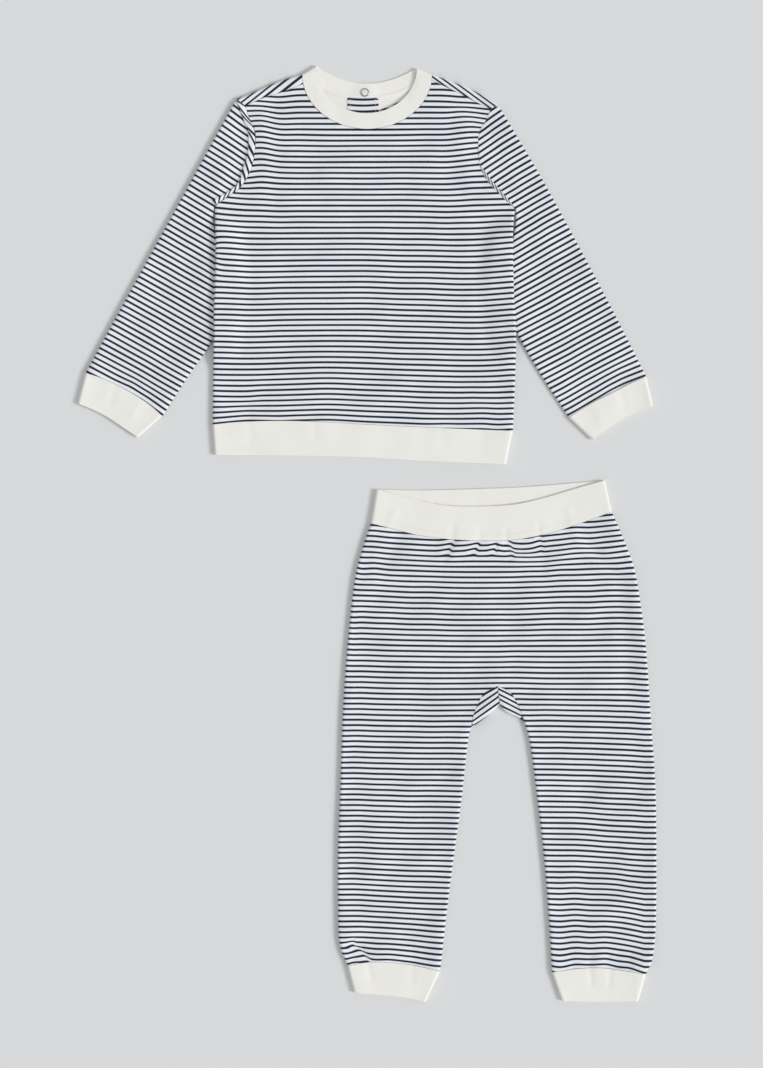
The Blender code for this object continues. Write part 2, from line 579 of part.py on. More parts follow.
def neckband():
    """The neckband: its front half hangs in front of its back half."""
    front_seam = moved(rounded(chain(*front_neck())), -SEAM_GAP)
    back_seam = moved(rounded(back_neck()), -SEAM_GAP)
    for end, seam_point, edge_point in ((0, NECK_SEAM_POINT_LEFT, NECK_POINT_LEFT),
                                        (-1, NECK_SEAM_POINT_RIGHT, NECK_POINT_RIGHT)):
        front_seam[end] = back_seam[end] = run([seam_point, edge_point], 1, (SEAM_GAP,))[1]
    front = (front_seam, rounded(run(FRONT_NECK_EDGE, NECK_STEPS + 2)))
    back = (back_seam, rounded(run(BACK_NECK_EDGE, NECK_STEPS + 2)))
    seat = [SNAP_AT, (SNAP_AT[0] + 1.0, SNAP_AT[1])]
    band("neckband", front, back, NECK_HEIGHT, CUFF_STEPS, TOP_AT,
         [(seat, CAP_HEIGHT + SEAM_GAP, SNAP_SEAT_LEVEL, SNAP_SEAT_RAMP)])


def facing():
    """Striped strip sewn inside the back neck opening; it lies on the back panel."""
    across = np.linspace(FACING_LEFT, FACING_RIGHT, FACING_STEPS + 1)
    seam = np.interp(across, *np.transpose(BACK_NECK_SEAM)) + SEAM_GAP
    end = np.full(FACING_STEPS + 1, FACING_END)
    plan = np.stack([np.stack([across, down], axis=-1) for down in (seam, end)])
    under = JERSEY + SEAM_GAP
    sheets = [np.concatenate([plan, np.full((*plan.shape[:2], 1), height)], axis=-1)
              for height in (under + FACING_WALL, under)]
    cloth("placket_facing", [tuple(sheets)], TOP_AT, STRIPED)


def snap():
    """The closed press snap: its ring and pearl on the band's inner face, its cap outside."""
    base = CAP_HEIGHT + SEAM_GAP + RIB + SEAM_GAP
    outer, bore, pearl, cap = (d / 2 for d in (SNAP_DIAMETER, SNAP_BORE, PEARL_DIAMETER,
                                               CAP_DIAMETER))
    top_of_ring, bevel = base + SNAP_HEIGHT, SNAP_BEVEL
    turned("snap_ring", [(bore, base), (outer - bevel, base), (outer, base + bevel),
                         (outer, top_of_ring - bevel), (outer - bevel, top_of_ring),
                         (bore + bevel, top_of_ring), (bore, top_of_ring - bevel)],
           SNAP_AT, STEEL, STEEL_ROUGHNESS, 1.0, ring=True)
    turned("snap_pearl", [(0, base), (pearl, base), (pearl, base + PEARL_HEIGHT * PEARL_SIDE),
                          (pearl * PEARL_SHOULDER_RADIUS, base + PEARL_HEIGHT * PEARL_SHOULDER),
                          (0, base + PEARL_HEIGHT)], SNAP_AT, PEARL, PEARL_ROUGHNESS, 0.0)
    turned("snap_cap", [(0, 0), (cap - bevel, 0), (cap, bevel), (cap - bevel, CAP_HEIGHT),
                        (0, CAP_HEIGHT)], SNAP_AT, STEEL, STEEL_ROUGHNESS, 1.0)


def top():
    """The long-sleeved top."""
    top_front()
    top_back()
    sleeve("sleeve_left", True, SLEEVE_OUTER_LEFT[::-1], SLEEVE_INNER_LEFT, CUFF_SEAM_LEFT)
    sleeve("sleeve_right", False, SLEEVE_OUTER_RIGHT, SLEEVE_INNER_RIGHT[::-1], CUFF_SEAM_RIGHT)
    plain_band("cuff_left", CUFF_EDGE_LEFT, CUFF_SEAM_LEFT, SLEEVE_STEPS_ACROSS, TOP_AT)
    plain_band("cuff_right", CUFF_EDGE_RIGHT, CUFF_SEAM_RIGHT, SLEEVE_STEPS_ACROSS, TOP_AT)
    plain_band("hem_band", HEM_EDGE, HEM_SEAM, BAND_STEPS_ACROSS, TOP_AT)
    neckband()
    facing()
    snap()


# ---------------------------------------------------------------- the trousers


TROUSERS_LAY = Lay(
    JERSEY_FLAT,
    folds=[(path, JERSEY_EDGE) for path in (OUTER_LEG_LEFT, INNER_LEG_LEFT, CROTCH_EDGE_LEFT,
                                            CROTCH_EDGE_RIGHT, INNER_LEG_RIGHT, OUTER_LEG_RIGHT)])


def outer_leg(left):
    """Outer leg from the ankle to the waist, with its rows level with the crotch."""
    path = smooth(OUTER_LEG_LEFT[::-1] if left else OUTER_LEG_RIGHT)
    knee, hip = CROTCH_EDGE_LEFT[0][1], CROTCH_SEAM_LEFT[-1][1]
    joints = [(np.interp(-level, -path[:, 1], path[:, 0]), level) for level in (knee, hip)]
    return chain(run(between(path, path[0], joints[0]), LEG_STEPS),
                 run(between(path, *joints), CROTCH_STEPS + 1),
                 run(between(path, joints[1], path[-1]), HIP_STEPS))


def half_waist(seam, left, centre):
    """Left or right half of a waist seam, up to the centre line."""
    seam = smooth(seam)
    middle = (centre, np.interp(centre, *seam.T))
    if left:
        return run(between(seam, seam[0], middle), LEG_STEPS_ACROSS, ROUND, ROUND)
    return run(between(seam, middle, seam[-1]), LEG_STEPS_ACROSS, ROUND, ROUND)


def trousers_front():
    """Front panel of both legs, in one piece."""
    grids, seams = [], []
    for left in (True, False):
        waist = half_waist(WAIST_SEAM_FRONT, left, 0.0)
        if left:
            leg, seam, ankle = INNER_LEG_LEFT, CROTCH_SEAM_LEFT, ANKLE_SEAM_LEFT
            middle, gap = waist[-1], -SEAM_GAP
        else:
            leg, seam, ankle = INNER_LEG_RIGHT[::-1], CROTCH_SEAM_RIGHT[::-1], ANKLE_SEAM_RIGHT
            middle, gap = waist[0], SEAM_GAP
        apex = (0.0, seam[-1][1] - SEAM_GAP)
        leg = run(leg, LEG_STEPS, (), (SEAM_GAP,))[:-1]
        seam = moved(run([*seam[:-1], (0.0, seam[-1][1])], CROTCH_STEPS, (CROTCH_WIDTH,)), gap)
        seam[0], seam[-1] = leg[-1], apex
        inside = chain(leg, seam, run([apex, middle], HIP_STEPS))
        sides = (outer_leg(left), inside) if left else (inside, outer_leg(left))
        ankle = run(ankle, LEG_STEPS_ACROSS, ROUND, ROUND)
        grids.append(fill(ankle, waist, *sides))
        seams += [ankle, waist, seam]
    cloth("trousers_front", [TROUSERS_LAY.sheet(grid, 1, JERSEY, SEAM_GAP, seams)
                             for grid in grids], TROUSERS_AT, STRIPED)


def trousers_back(left):
    """Left or right back panel, which wraps forward under the crotch."""
    if left:
        centre, ankle = -SEAM_GAP / 2, ANKLE_SEAM_LEFT
        leg, edge, seam = INNER_LEG_LEFT, CROTCH_EDGE_LEFT, CROTCH_SEAM_LEFT
    else:
        centre, ankle = SEAM_GAP / 2, ANKLE_SEAM_RIGHT
        leg, edge, seam = (path[::-1] for path in (INNER_LEG_RIGHT, CROTCH_EDGE_RIGHT,
                                                   CROTCH_SEAM_RIGHT))
    waist = half_waist(WAIST_SEAM_BACK, left, centre)
    edge_run = run(edge, CROTCH_STEPS, (CROTCH_WIDTH,))
    seam_run = run(seam, CROTCH_STEPS, (CROTCH_WIDTH,))
    inside = chain(run(leg, LEG_STEPS), edge_run,
                   run([edge[-1], waist[-1 if left else 0]], HIP_STEPS))
    sides = (outer_leg(left), inside) if left else (inside, outer_leg(left))
    ankle = run(ankle, LEG_STEPS_ACROSS, ROUND, ROUND)
    main = fill(ankle, waist, *sides)
    wrap_ends = [run([edge_run[k], seam_run[k]], WRAP_STEPS, ROUND) for k in (1, -1)]
    wrap = fill(edge_run[1:], seam_run[1:], *wrap_ends)
    seams = (ankle, waist, seam_run[1:], wrap_ends[1])
    cloth("trousers_back_left" if left else "trousers_back_right",
          [TROUSERS_LAY.sheet(main, -1, JERSEY, seams=seams),
           TROUSERS_LAY.sheet(wrap, 1, JERSEY, seams=seams)], TROUSERS_AT, STRIPED)


def waistband():
    """The waistband: its back stands higher than its front."""
    layers = []
    for seam, edge in ((WAIST_SEAM_FRONT, WAIST_TOP_FRONT), (WAIST_SEAM_BACK, WAIST_TOP_BACK)):
        seam = chain(half_waist(seam, True, 0.0), half_waist(seam, False, 0.0))
        free = run(edge, len(seam) - 1 - 2 * len(ROUND), ROUND, ROUND)
        layers.append((moved(seam, -SEAM_GAP), free))
    layers[1][0][0], layers[1][0][-1] = layers[0][0][0], layers[0][0][-1]
    band("waistband", *layers, RIB_FLAT, CUFF_STEPS, TROUSERS_AT)


def trousers():
    """The pull-on trousers."""
    trousers_front()
    trousers_back(True)
    trousers_back(False)
    waistband()
    plain_band("ankle_cuff_left", ANKLE_EDGE_LEFT, ANKLE_SEAM_LEFT, LEG_STEPS_ACROSS, TROUSERS_AT)
    plain_band("ankle_cuff_right", ANKLE_EDGE_RIGHT, ANKLE_SEAM_RIGHT, LEG_STEPS_ACROSS,
               TROUSERS_AT)


top()
trousers()
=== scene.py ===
"""Looks for a toddler's pyjama set laid out flat: striped jersey top and trousers, rib bands.

Each garment's outlines are given in millimetres as (across, down) from its reference point, and
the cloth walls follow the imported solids: two layers, flat on each other in the middle and round
at a folded edge.  Creases, waves, stripes, ribs and stitches are added here.
"""

import math

import bmesh
import bpy
import numpy as np
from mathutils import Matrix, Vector


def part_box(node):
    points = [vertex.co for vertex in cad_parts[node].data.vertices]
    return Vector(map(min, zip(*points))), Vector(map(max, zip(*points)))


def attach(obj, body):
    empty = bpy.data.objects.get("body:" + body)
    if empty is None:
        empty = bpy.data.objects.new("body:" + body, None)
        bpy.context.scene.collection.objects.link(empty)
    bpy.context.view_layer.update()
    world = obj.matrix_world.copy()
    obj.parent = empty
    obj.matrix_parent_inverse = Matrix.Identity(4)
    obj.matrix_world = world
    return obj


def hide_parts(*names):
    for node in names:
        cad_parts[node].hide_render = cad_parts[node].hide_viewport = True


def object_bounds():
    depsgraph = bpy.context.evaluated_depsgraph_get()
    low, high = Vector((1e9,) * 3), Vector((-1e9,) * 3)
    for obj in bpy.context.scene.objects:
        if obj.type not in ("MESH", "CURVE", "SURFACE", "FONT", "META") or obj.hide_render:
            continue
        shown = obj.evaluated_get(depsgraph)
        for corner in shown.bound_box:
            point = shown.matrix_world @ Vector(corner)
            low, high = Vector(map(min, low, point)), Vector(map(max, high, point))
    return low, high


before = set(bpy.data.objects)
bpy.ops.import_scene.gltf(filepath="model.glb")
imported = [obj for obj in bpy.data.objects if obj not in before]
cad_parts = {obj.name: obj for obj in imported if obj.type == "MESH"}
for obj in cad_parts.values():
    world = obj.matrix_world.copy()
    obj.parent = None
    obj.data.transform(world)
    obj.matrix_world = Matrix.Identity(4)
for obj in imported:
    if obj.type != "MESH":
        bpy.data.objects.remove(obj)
cad_low, cad_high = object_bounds()

MM = 0.001

# Body of the top.  The side edges run from the underarm to the hem seam.
SIDE_LEFT = [(-144.5, 134), (-143.5, 175), (-145, 221.5), (-145.5, 260), (-146.5, 340.5)]
SIDE_RIGHT = [
    (138.5, 346.5), (140.5, 298.5), (141.5, 253.5), (139.5, 221.5), (138.5, 175), (138.8, 152),
    (140.5, 136.5),
]
ARMHOLE_LEFT = [
    (-144.5, 134), (-131, 124), (-120, 115.5), (-111.5, 102.5), (-107.5, 89), (-105.5, 66), (-111, 51.5),
    (-115.5, 38),
]
ARMHOLE_RIGHT = [
    (140.5, 136.5), (127.5, 124), (116, 112), (108.5, 99), (106, 86.5), (106, 64.5), (112.5, 52.5),
    (117.5, 41.5),
]
SHOULDER_TIP_LEFT = (-124, 31.5)
SHOULDER_TIP_RIGHT = (124.5, 37)
TIP_WIDTH = 3.5         # the sleeve ends this far before the shoulder tip, so its tip is blunt
# The back panel folds forward over the shoulder, and is sewn to the front below the fold.
SHOULDER_FOLD_LEFT = [(-61.5, 8.5), (-73.5, 12), (-88, 17), (-112, 27.5), (-124, 31.5)]
SHOULDER_FOLD_RIGHT = [(124.5, 37), (117.5, 33), (103.5, 25), (86.5, 17.5), (62, 8.5)]
SHOULDER_SEAM_LEFT = [(-115.5, 38), (-98, 30.5), (-81.5, 25.5), (-60.6, 17.5)]
SHOULDER_SEAM_RIGHT = [(61.7, 14), (86, 25.5), (97.5, 31.5), (117.5, 41.5)]
HEM_SEAM = [
    (-146.5, 340.5), (-120.5, 338), (-77, 337), (-35, 338.5), (0, 340.5), (41, 342.5), (88.5, 344.5),
    (138.5, 346.5),
]
HEM_EDGE = [(-144.5, 369.5), (-54, 370.5), (0, 372), (50.5, 375), (132, 378.5)]

# Neck.  The band's front edges are half ellipses that hang between the neck points.
NECK_POINT_LEFT = (-48, 0)
NECK_POINT_RIGHT = (47.5, 2.5)
NECK_SEAM_POINT_LEFT = (-61.5, 8.5)
NECK_SEAM_POINT_RIGHT = (62, 8.5)
FRONT_NECK_DEPTH = 45.5
FRONT_NECK_SEAM_DEPTH = 60.5
BACK_NECK_DEPTH = 17.0
BACK_NECK_SEAM_DEPTH = 30.0
SNAP_AT = (-2, 25.5)
SNAP_SEAT_LEVEL = 5.5   # the neckband stays raised this far from the snap's middle
SNAP_SEAT_RAMP = 8.0    # and comes down over this distance
# Sleeves.  Each runs from the armhole to the cuff seam; its inner edge is tucked under the body.
SLEEVE_OUTER_LEFT = [(-124, 31.5), (-145.5, 70), (-177, 127.5), (-229.5, 222.5), (-267, 291.5)]
SLEEVE_INNER_LEFT = [
    (-194, 332.5), (-170.5, 296), (-145.5, 259.5), (-139, 238), (-136.5, 213), (-139, 182), (-143.9, 158),
    (-145.4, 145), (-145, 133.7),
]
SLEEVE_OUTER_RIGHT = [(265, 295), (235.5, 236.5), (203, 175), (164.5, 104.5), (124.5, 37)]
SLEEVE_INNER_RIGHT = [
    (141, 136.2), (140.9, 147), (139, 160), (133.5, 183), (130.5, 210), (133, 234), (141.5, 253.5),
    (165.5, 294.5), (191.5, 334),
]
CUFF_SEAM_LEFT = [(-267, 291.5), (-249, 297.5), (-225, 309.5), (-206, 322), (-194, 332.5)]
CUFF_SEAM_RIGHT = [(191.5, 334), (212, 321), (235.5, 309), (252, 300.5), (265, 295)]
CUFF_EDGE_LEFT = [(-274.5, 320.5), (-250, 331.5), (-217, 353)]
CUFF_EDGE_RIGHT = [(213.5, 355), (242, 336), (271.5, 323)]
# The body climbs over the tucked sleeve edge along these lines.
TUCK_LEFT = [(-143, 168), (-138, 213), (-145, 259)]
TUCK_RIGHT = [(138.5, 170), (132.5, 210), (140.5, 253)]

# Trousers.
OUTER_LEG_LEFT = [
    (-120.5, 40.5), (-128.5, 64.5), (-136, 95.5), (-142.5, 156), (-147, 220), (-149.5, 295.5),
    (-151.5, 350.5), (-151.5, 404.5), (-150, 439.5), (-142.5, 460),
]
OUTER_LEG_RIGHT = [
    (141, 467.5), (147.5, 450.5), (150.5, 404.5), (150, 299.5), (145.5, 226.5), (141, 161),
    (136.5, 122.5), (130, 84.5), (119, 54), (108.5, 29.5),
]
INNER_LEG_LEFT = [(-54.5, 465), (-48.5, 411), (-43, 367.5), (-34.5, 304), (-28.5, 249.5), (-25.5, 235)]
INNER_LEG_RIGHT = [(25, 228), (30.5, 248.5), (36.5, 293), (44, 358.5), (48.5, 415), (51.5, 466)]
CROTCH_EDGE_LEFT = [(-25.5, 235), (-17.5, 229), (-8.5, 222), (-1, 215.5), (1.8, 211.5)]
CROTCH_EDGE_RIGHT = [(2.2, 211.5), (5.5, 217), (11, 221), (18, 224), (25, 228)]
# The back panels wrap forward under the crotch and meet the front along this arch.
CROTCH_SEAM_LEFT = [(-25.5, 235), (-22, 220), (-16, 206.5), (-11.5, 200.5), (-0.2, 195)]
CROTCH_SEAM_RIGHT = [(0.2, 195), (10.5, 199.5), (16, 206.5), (21.5, 218), (25, 228)]
CROTCH_WIDTH = 5.0      # the wrap starts this far along from the inner leg, so its end is blunt
WAIST_SEAM_FRONT = [
    (-120.5, 40.5), (-102, 45), (-73.5, 52), (-40.5, 56), (0, 57), (21.5, 55.5), (50, 49.5), (78.5, 40.5),
    (108.5, 29.5),
]
WAIST_SEAM_BACK = [(-120.5, 40.5), (-60, 43.5), (0, 42), (60, 36), (108.5, 29.5)]
WAIST_TOP_FRONT = [
    (-115, 8), (-92.5, 14), (-64, 21), (-40.5, 24), (-7, 24), (21.5, 21.5), (50, 14.5), (73.5, 7.5),
    (102, -0.5),
]
WAIST_TOP_BACK = [(-115, 8), (-73.5, 9), (-16, 7.5), (31, 5.5), (102, -0.5)]
ANKLE_SEAM_LEFT = [(-142.5, 460), (-126, 457), (-107, 456.5), (-83, 459), (-54.5, 465)]
ANKLE_SEAM_RIGHT = [(51.5, 466), (73.5, 463), (97.5, 462), (121, 465), (141, 467.5)]
ANKLE_EDGE_LEFT = [(-136, 485.5), (-92.5, 489.5), (-68, 494.2)]
ANKLE_EDGE_RIGHT = [(61, 493.5), (97, 494.2), (133.5, 493.5)]

# Cloth.
JERSEY = 0.9            # single jersey wall
RIB = 1.8               # rib band wall: rib folded double
SEAM_GAP = 0.3          # between neighbouring pieces
FOLD_RADIUS = 2.4       # how far in from a folded edge the cloth rounds over
EDGE_REACH = 12.0       # how far in from a folded edge the cloth stays plump
ON_PATH = 0.3           # a point this close to a folded edge is on it
SAME_POINT = 0.001      # points this close are one point
CURVE_STEPS = 6         # points in each span of a smooth curve

# Height of both layers together: in the middle, and at a folded edge.
JERSEY_FLAT = 3.4
JERSEY_EDGE = 5.2
TUCKED_EDGE = 3.8       # sleeve edge that is pressed under the body
RIB_FLAT = 4.5
RIB_EDGE = 5.4
NECK_HEIGHT = 5.2       # the neckband, over the back panel and the facing
NECK_CLEARANCE = 1.4    # how much the front panel rises along the neck seam
NECK_CLEARANCE_LEVEL = 9.0      # it stays risen this far from the seam
NECK_CLEARANCE_RAMP = 30.0      # and comes down over this distance
TUCK_LIFT = 4.3         # how far the body climbs over a sleeve's tucked edge
TUCK_FLAT = 14.0        # the body stays lifted this far from a line
TUCK_RAMP = 18.0        # and comes down over this distance
FACING_LEFT = -18.5
FACING_RIGHT = 11.0
FACING_END = 62.0       # how far down the strip runs
FACING_WALL = 1.0
FACING_SOFT = 0.5       # its sides are this much lower than its middle
FACING_SOFT_REACH = 1.2         # and that spreads this far in

# Mesh spacing: how many steps each run is cut into.
SIDE_STEPS = 74
ARMHOLE_STEPS = 40
SHOULDER_STEPS = 20
NECK_STEPS = 52
SLEEVE_STEPS = 84
SLEEVE_STEPS_ACROSS = 26
CUFF_STEPS = 12
LEG_STEPS_ACROSS = 56
LEG_STEPS = 86
CROTCH_STEPS = 14
HIP_STEPS = 66
BAND_STEPS_ACROSS = 100
FACING_STEPS = 12
WRAP_STEPS = 5
ROUND = tuple(FOLD_RADIUS * (1 - math.cos(math.pi / 12 * k)) for k in range(1, 7))
LOWEST = 1.2            # deepest a crease may press the upper layer
BAND_WAVING = 0.5       # a rib band's slow waves, next to the jersey's
SHARP_ANGLE = 50        # edges sharper than this many degrees are shaded sharp
SNAP_LIFT = 0.8         # the snap's cap raises the neckband this much
BODY_LEVEL = 65.8       # the back's stripe count at the neck point
CROTCH_FIRST = 49       # the number of the crotch's first slanting stripe
FACING_UNDER = 1.6      # level of its underside
FACING_STRIPE = 31.4    # how far down its first stripe lies
FACING_PITCH = 5.65
FACING_BOW = -0.9       # the facing's stripes rise this much in the middle
NECK_CREASES = [
    ([(-46, 12), (-40, 24)], -0.5, 4),
    ([(-20, 52), (0, 55), (22, 52)], 0.3, 6),
    ([(44, 14), (38, 28)], -0.5, 4),
]
WAIST_CREASES = [
    ([(-43.8, 57), (-42, 44)], -0.6, 3),
    ([(-17.6, 58), (-17, 47)], -0.5, 2.6),
    ([(8.2, 58), (8, 46)], -0.5, 2.6),
    ([(39.6, 53), (39, 41)], -0.5, 2.6),
    ([(71.5, 44), (68, 30)], 0.5, 4),
    ([(-104.8, 46), (-98, 30)], 0.5, 4),
]
WAIST_SEED = 47
FACING_STITCH_IN = 2.8  # stitches run this far in from the facing's sides
FACING_STITCHES = (31.5, 60.0)  # from here to here down the facing
WAIST_STITCH_UP = 5.7   # and this far above the waist seam
STITCH_SUNK = 0.05      # how deep the facing's stitches are drawn in
CUFF_CREASES_LEFT = [([(-238, 302), (-243, 318)], -0.5, 4), ([(-214, 316), (-222, 332)], 0.4, 4.5)]
CUFF_CREASES_RIGHT = [([(238, 306), (244, 322)], -0.5, 4), ([(214, 320), (222, 336)], 0.4, 4.5)]
HEM_CREASES = [
    ([(-50.4, 341), (-49, 352)], -0.6, 4.5),
    ([(-112, 340), (-111, 356)], -0.5, 4),
    ([(64, 344), (62, 362)], 0.4, 6),
    ([(108, 346), (110, 366)], -0.4, 5),
]
ANKLE_CREASES_LEFT = [([(-123, 458), (-120, 472)], -0.6, 3.5), ([(-80, 459), (-82, 474)], -0.4, 4)]
ANKLE_CREASES_RIGHT = [([(87.7, 462), (89, 476)], -0.6, 3.2), ([(106.9, 463), (106, 477)], -0.5, 3.2)]

# Stripes.  Each row is a stripe's number, counted up from the hem, and how far down it lies at
# each of the table's columns.
BODY_COLUMNS = (
    -144.4, -135.8, -115.9, -99.8, -82.6, -63.6, -35.1, 0.0, 31.3, 55.1, 74.1, 88.3, 99.8, 111.1, 124.4,
    136.8,
)
BODY_STRIPES = [
    (62, 17.1, 17.1, 17.1, 19, 19.5, 16.9, 17.1, 17.1, 17.1, 17.6, 17.6, 19.1, 19.5, 20.9, 22.8, 24.7),
    (59, 32.3, 32.3, 33.2, 34, 35.1, 34.1, 34.1, 34.1, 34.1, 34.2, 34.5, 35.2, 35.7, 36.6, 38, 39.9),
    (57, 42.8, 42.8, 43.2, 43, 45.4, 44.9, 44.9, 44.9, 44.9, 44.9, 44.9, 43.9, 44.4, 45.8, 47.5, 49.4),
    (55, 53.2, 53.2, 53.2, 52.5, 55.6, 55.5, 55.6, 55.6, 55.6, 55.4, 55.2, 54, 53.6, 55.1, 56.5, 57.9),
    (53, 63.6, 63.6, 63.6, 62.7, 65.6, 65.7, 66.4, 66.4, 66.2, 65.7, 65.5, 64.2, 63.3, 63.5, 64.6, 65.5),
    (49, 84.5, 84.5, 84.5, 83.5, 86, 86.5, 86.6, 86.5, 86.3, 86.3, 86.5, 85.4, 83.8, 82.2, 82.6, 83.6),
    (45, 107.8, 107.4, 107, 105.5, 106.7, 107.2, 107.2, 107.3, 107, 107.3, 107.3, 106.4, 105.5, 105,
     104.2, 103.5),
    (41, 124, 124.6, 126.4, 127, 127.9, 127.8, 127.7, 127.8, 127.6, 128.1, 128.4, 128, 127.3, 127.1,
     126.9, 126.5),
    (37, 145.9, 147, 148.1, 148.4, 148.8, 148.6, 148.8, 148.7, 148.9, 149.1, 149.7, 149.4, 149.2, 148.7,
     148, 148.2),
    (33, 169.7, 168.4, 169.3, 169.7, 169.6, 169.5, 169.3, 169.3, 169.9, 170.2, 170.7, 170.9, 170.7, 170.1,
     169.4, 168.3),
    (29, 187.4, 189.6, 190.6, 190.7, 190.5, 190.2, 190, 189.9, 190.9, 191.2, 191.6, 192, 192, 191.6,
     190.9, 190),
    (25, 210.7, 210.8, 211.5, 211.5, 211, 210.8, 210.7, 210.5, 211.6, 211.8, 212.5, 212.9, 212.9, 212.7,
     211.9, 211),
    (21, 231.6, 231.6, 232, 231.9, 231.5, 231.2, 231, 230.9, 231.9, 232.5, 233.2, 233.6, 233.7, 233.5,
     232.7, 231.8),
    (17, 252, 252, 252.5, 252.4, 251.8, 251.6, 251.4, 251.6, 252.6, 253.3, 253.8, 254.2, 254.4, 254.1,
     253.5, 252.6),
    (13, 272.6, 272.7, 273, 272.8, 272.4, 271.8, 271.6, 272.1, 273.4, 273.9, 274.4, 274.6, 274.7, 274.6,
     274, 272.9),
    (9, 293.4, 293.6, 293.7, 293.5, 292.9, 292.3, 291.7, 292.7, 293.8, 294.5, 295, 295.3, 295.3, 295.2,
     294.7, 293.9),
    (5, 313.8, 314.1, 314.3, 313.2, 312.9, 312.4, 311.7, 313.1, 314.1, 315.1, 315.4, 315.5, 315.3, 315.5,
     315.5, 315.1),
    (2, 329.4, 329.1, 327.7, 327.8, 327.8, 327.2, 326.6, 328.1, 329.1, 330.2, 330.6, 330.5, 330.2, 330,
     330.7, 330.5),
    (0, 339.8, 338.8, 337, 337, 337.4, 336.7, 336.2, 338, 339.2, 340.1, 339.9, 340.1, 340, 340, 340.8,
     340.3),
]
LEFT_LEG_COLUMNS = (-143, -136.3, -128.7, -116.4, -102.1, -83.1, -64.1, -45.1, -26.1, -0.5)
LEFT_LEG_STRIPES = [
    (81, 34, 35.5, 36.6, 37, 38.5, 39.5, 40.6, 41, 40.8, 40.8),
    (75, 65.1, 66, 67.2, 67.8, 69.2, 70.4, 71.4, 71.9, 71.4, 71.4),
    (72, 80.2, 81.4, 83.4, 83, 84.5, 85.1, 85.8, 86.3, 86.5, 86.5),
    (69, 96.7, 97.9, 98.5, 98.8, 99.7, 100.6, 100.7, 101.4, 101.7, 101.6),
    (63, 129, 129.5, 129.2, 129.8, 130.2, 131.1, 131.2, 131.9, 132, 131.9),
    (57, 159.9, 160.3, 160.3, 160.6, 161.1, 161.4, 161.7, 162, 162.1, 162.1),
    (51, 190.8, 190.9, 190.9, 191.4, 191.8, 192.1, 192.4, 192.4, 192.3, 191.7),
    (45, 221.5, 221.5, 221.6, 222.1, 222.4, 222.7, 223.1, 222.9, 222.8, 222.5),
    (39, 252.2, 252, 252.2, 252.6, 252.9, 253.3, 253.6, 253.5, 253.9, 254.5),
    (33, 282.3, 282.3, 282.5, 283, 283.3, 283.9, 284, 284.2, 284.4, 284.6),
    (27, 312.6, 312.6, 312.7, 313.3, 313.7, 314.4, 314.4, 314.6, 315, 315.5),
    (21, 342.8, 342.8, 342.9, 343.5, 344.1, 344.7, 344.9, 345.1, 345.5, 346.1),
    (15, 372.5, 372.5, 372.9, 373.5, 374.3, 375.1, 375.4, 376.1, 376.4, 376.6),
    (9, 402.5, 402.6, 402.8, 403.6, 404.4, 405.5, 406.4, 406.6, 407, 407.4),
    (3, 433.2, 433.1, 433.2, 433.8, 434.5, 435.9, 437.8, 439, 440, 441),
    (0, 448.4, 447.3, 447.6, 449.1, 449.3, 451.4, 454.1, 455.5, 457, 458),
]
RIGHT_LEG_COLUMNS = (0.5, 16.6, 30.9, 45.1, 59.4, 73.6, 87.9, 102.1, 114.5, 125.9, 139.2)
RIGHT_LEG_STRIPES = [
    (81, 40.5, 43, 43.5, 42, 40.5, 39, 39, 37.8, 36.5, 35.1, 33.6),
    (77, 60.6, 64.6, 64.6, 62.4, 60.9, 59.3, 59.7, 58.2, 56.9, 55.5, 54),
    (75, 71.4, 72.1, 72.4, 71.9, 70.4, 68.7, 68.2, 68.8, 67.5, 65.7, 63.2),
    (72, 86.5, 86.3, 85.8, 85.6, 84.4, 84.2, 83.6, 83.3, 83.5, 82.6, 82),
    (69, 101.6, 101.4, 100.9, 100.6, 99.9, 99.6, 99.5, 98.7, 98.6, 98.9, 98.6),
    (63, 131.9, 132, 131.6, 131, 130.8, 130.9, 130.9, 130.3, 130, 130.3, 130.6),
    (57, 162.1, 161.7, 161.8, 161.8, 161.8, 161.7, 161.5, 161.4, 161.4, 161.5, 162.2),
    (51, 191.7, 191.8, 192.2, 192.6, 192.7, 192.7, 192.6, 192.6, 192.6, 192.8, 193.6),
    (45, 222.5, 222.3, 222.5, 222.3, 222.6, 223, 223.2, 223.5, 224, 224.3, 225.1),
    (39, 253, 253, 253, 253.3, 253.3, 253.7, 254.1, 254.6, 255, 255.5, 256.4),
    (33, 284, 284, 283.9, 283.9, 284.2, 284.7, 285, 285.6, 286, 286.6, 287.4),
    (27, 313.2, 313.5, 313.9, 314.2, 314.4, 314.6, 315.4, 316.5, 317.1, 317.4, 318.3),
    (21, 343.5, 344, 344.5, 344.9, 345.2, 345.4, 346.2, 347.5, 348.2, 349, 349.7),
    (15, 375, 375.3, 375.7, 376, 376.4, 376.2, 377, 377.4, 378.3, 380, 381.3),
    (9, 405.3, 405.7, 406.1, 406.5, 407.5, 406.8, 407.7, 407.8, 408.6, 410.1, 412.7),
    (3, 437, 437.3, 437.6, 437.9, 439.1, 437.8, 438.6, 438.1, 439.4, 441.4, 444.1),
    (0, 454.5, 454.3, 454.1, 453.9, 455.7, 453.7, 454.1, 453.6, 455.8, 457.2, 461.1),
]
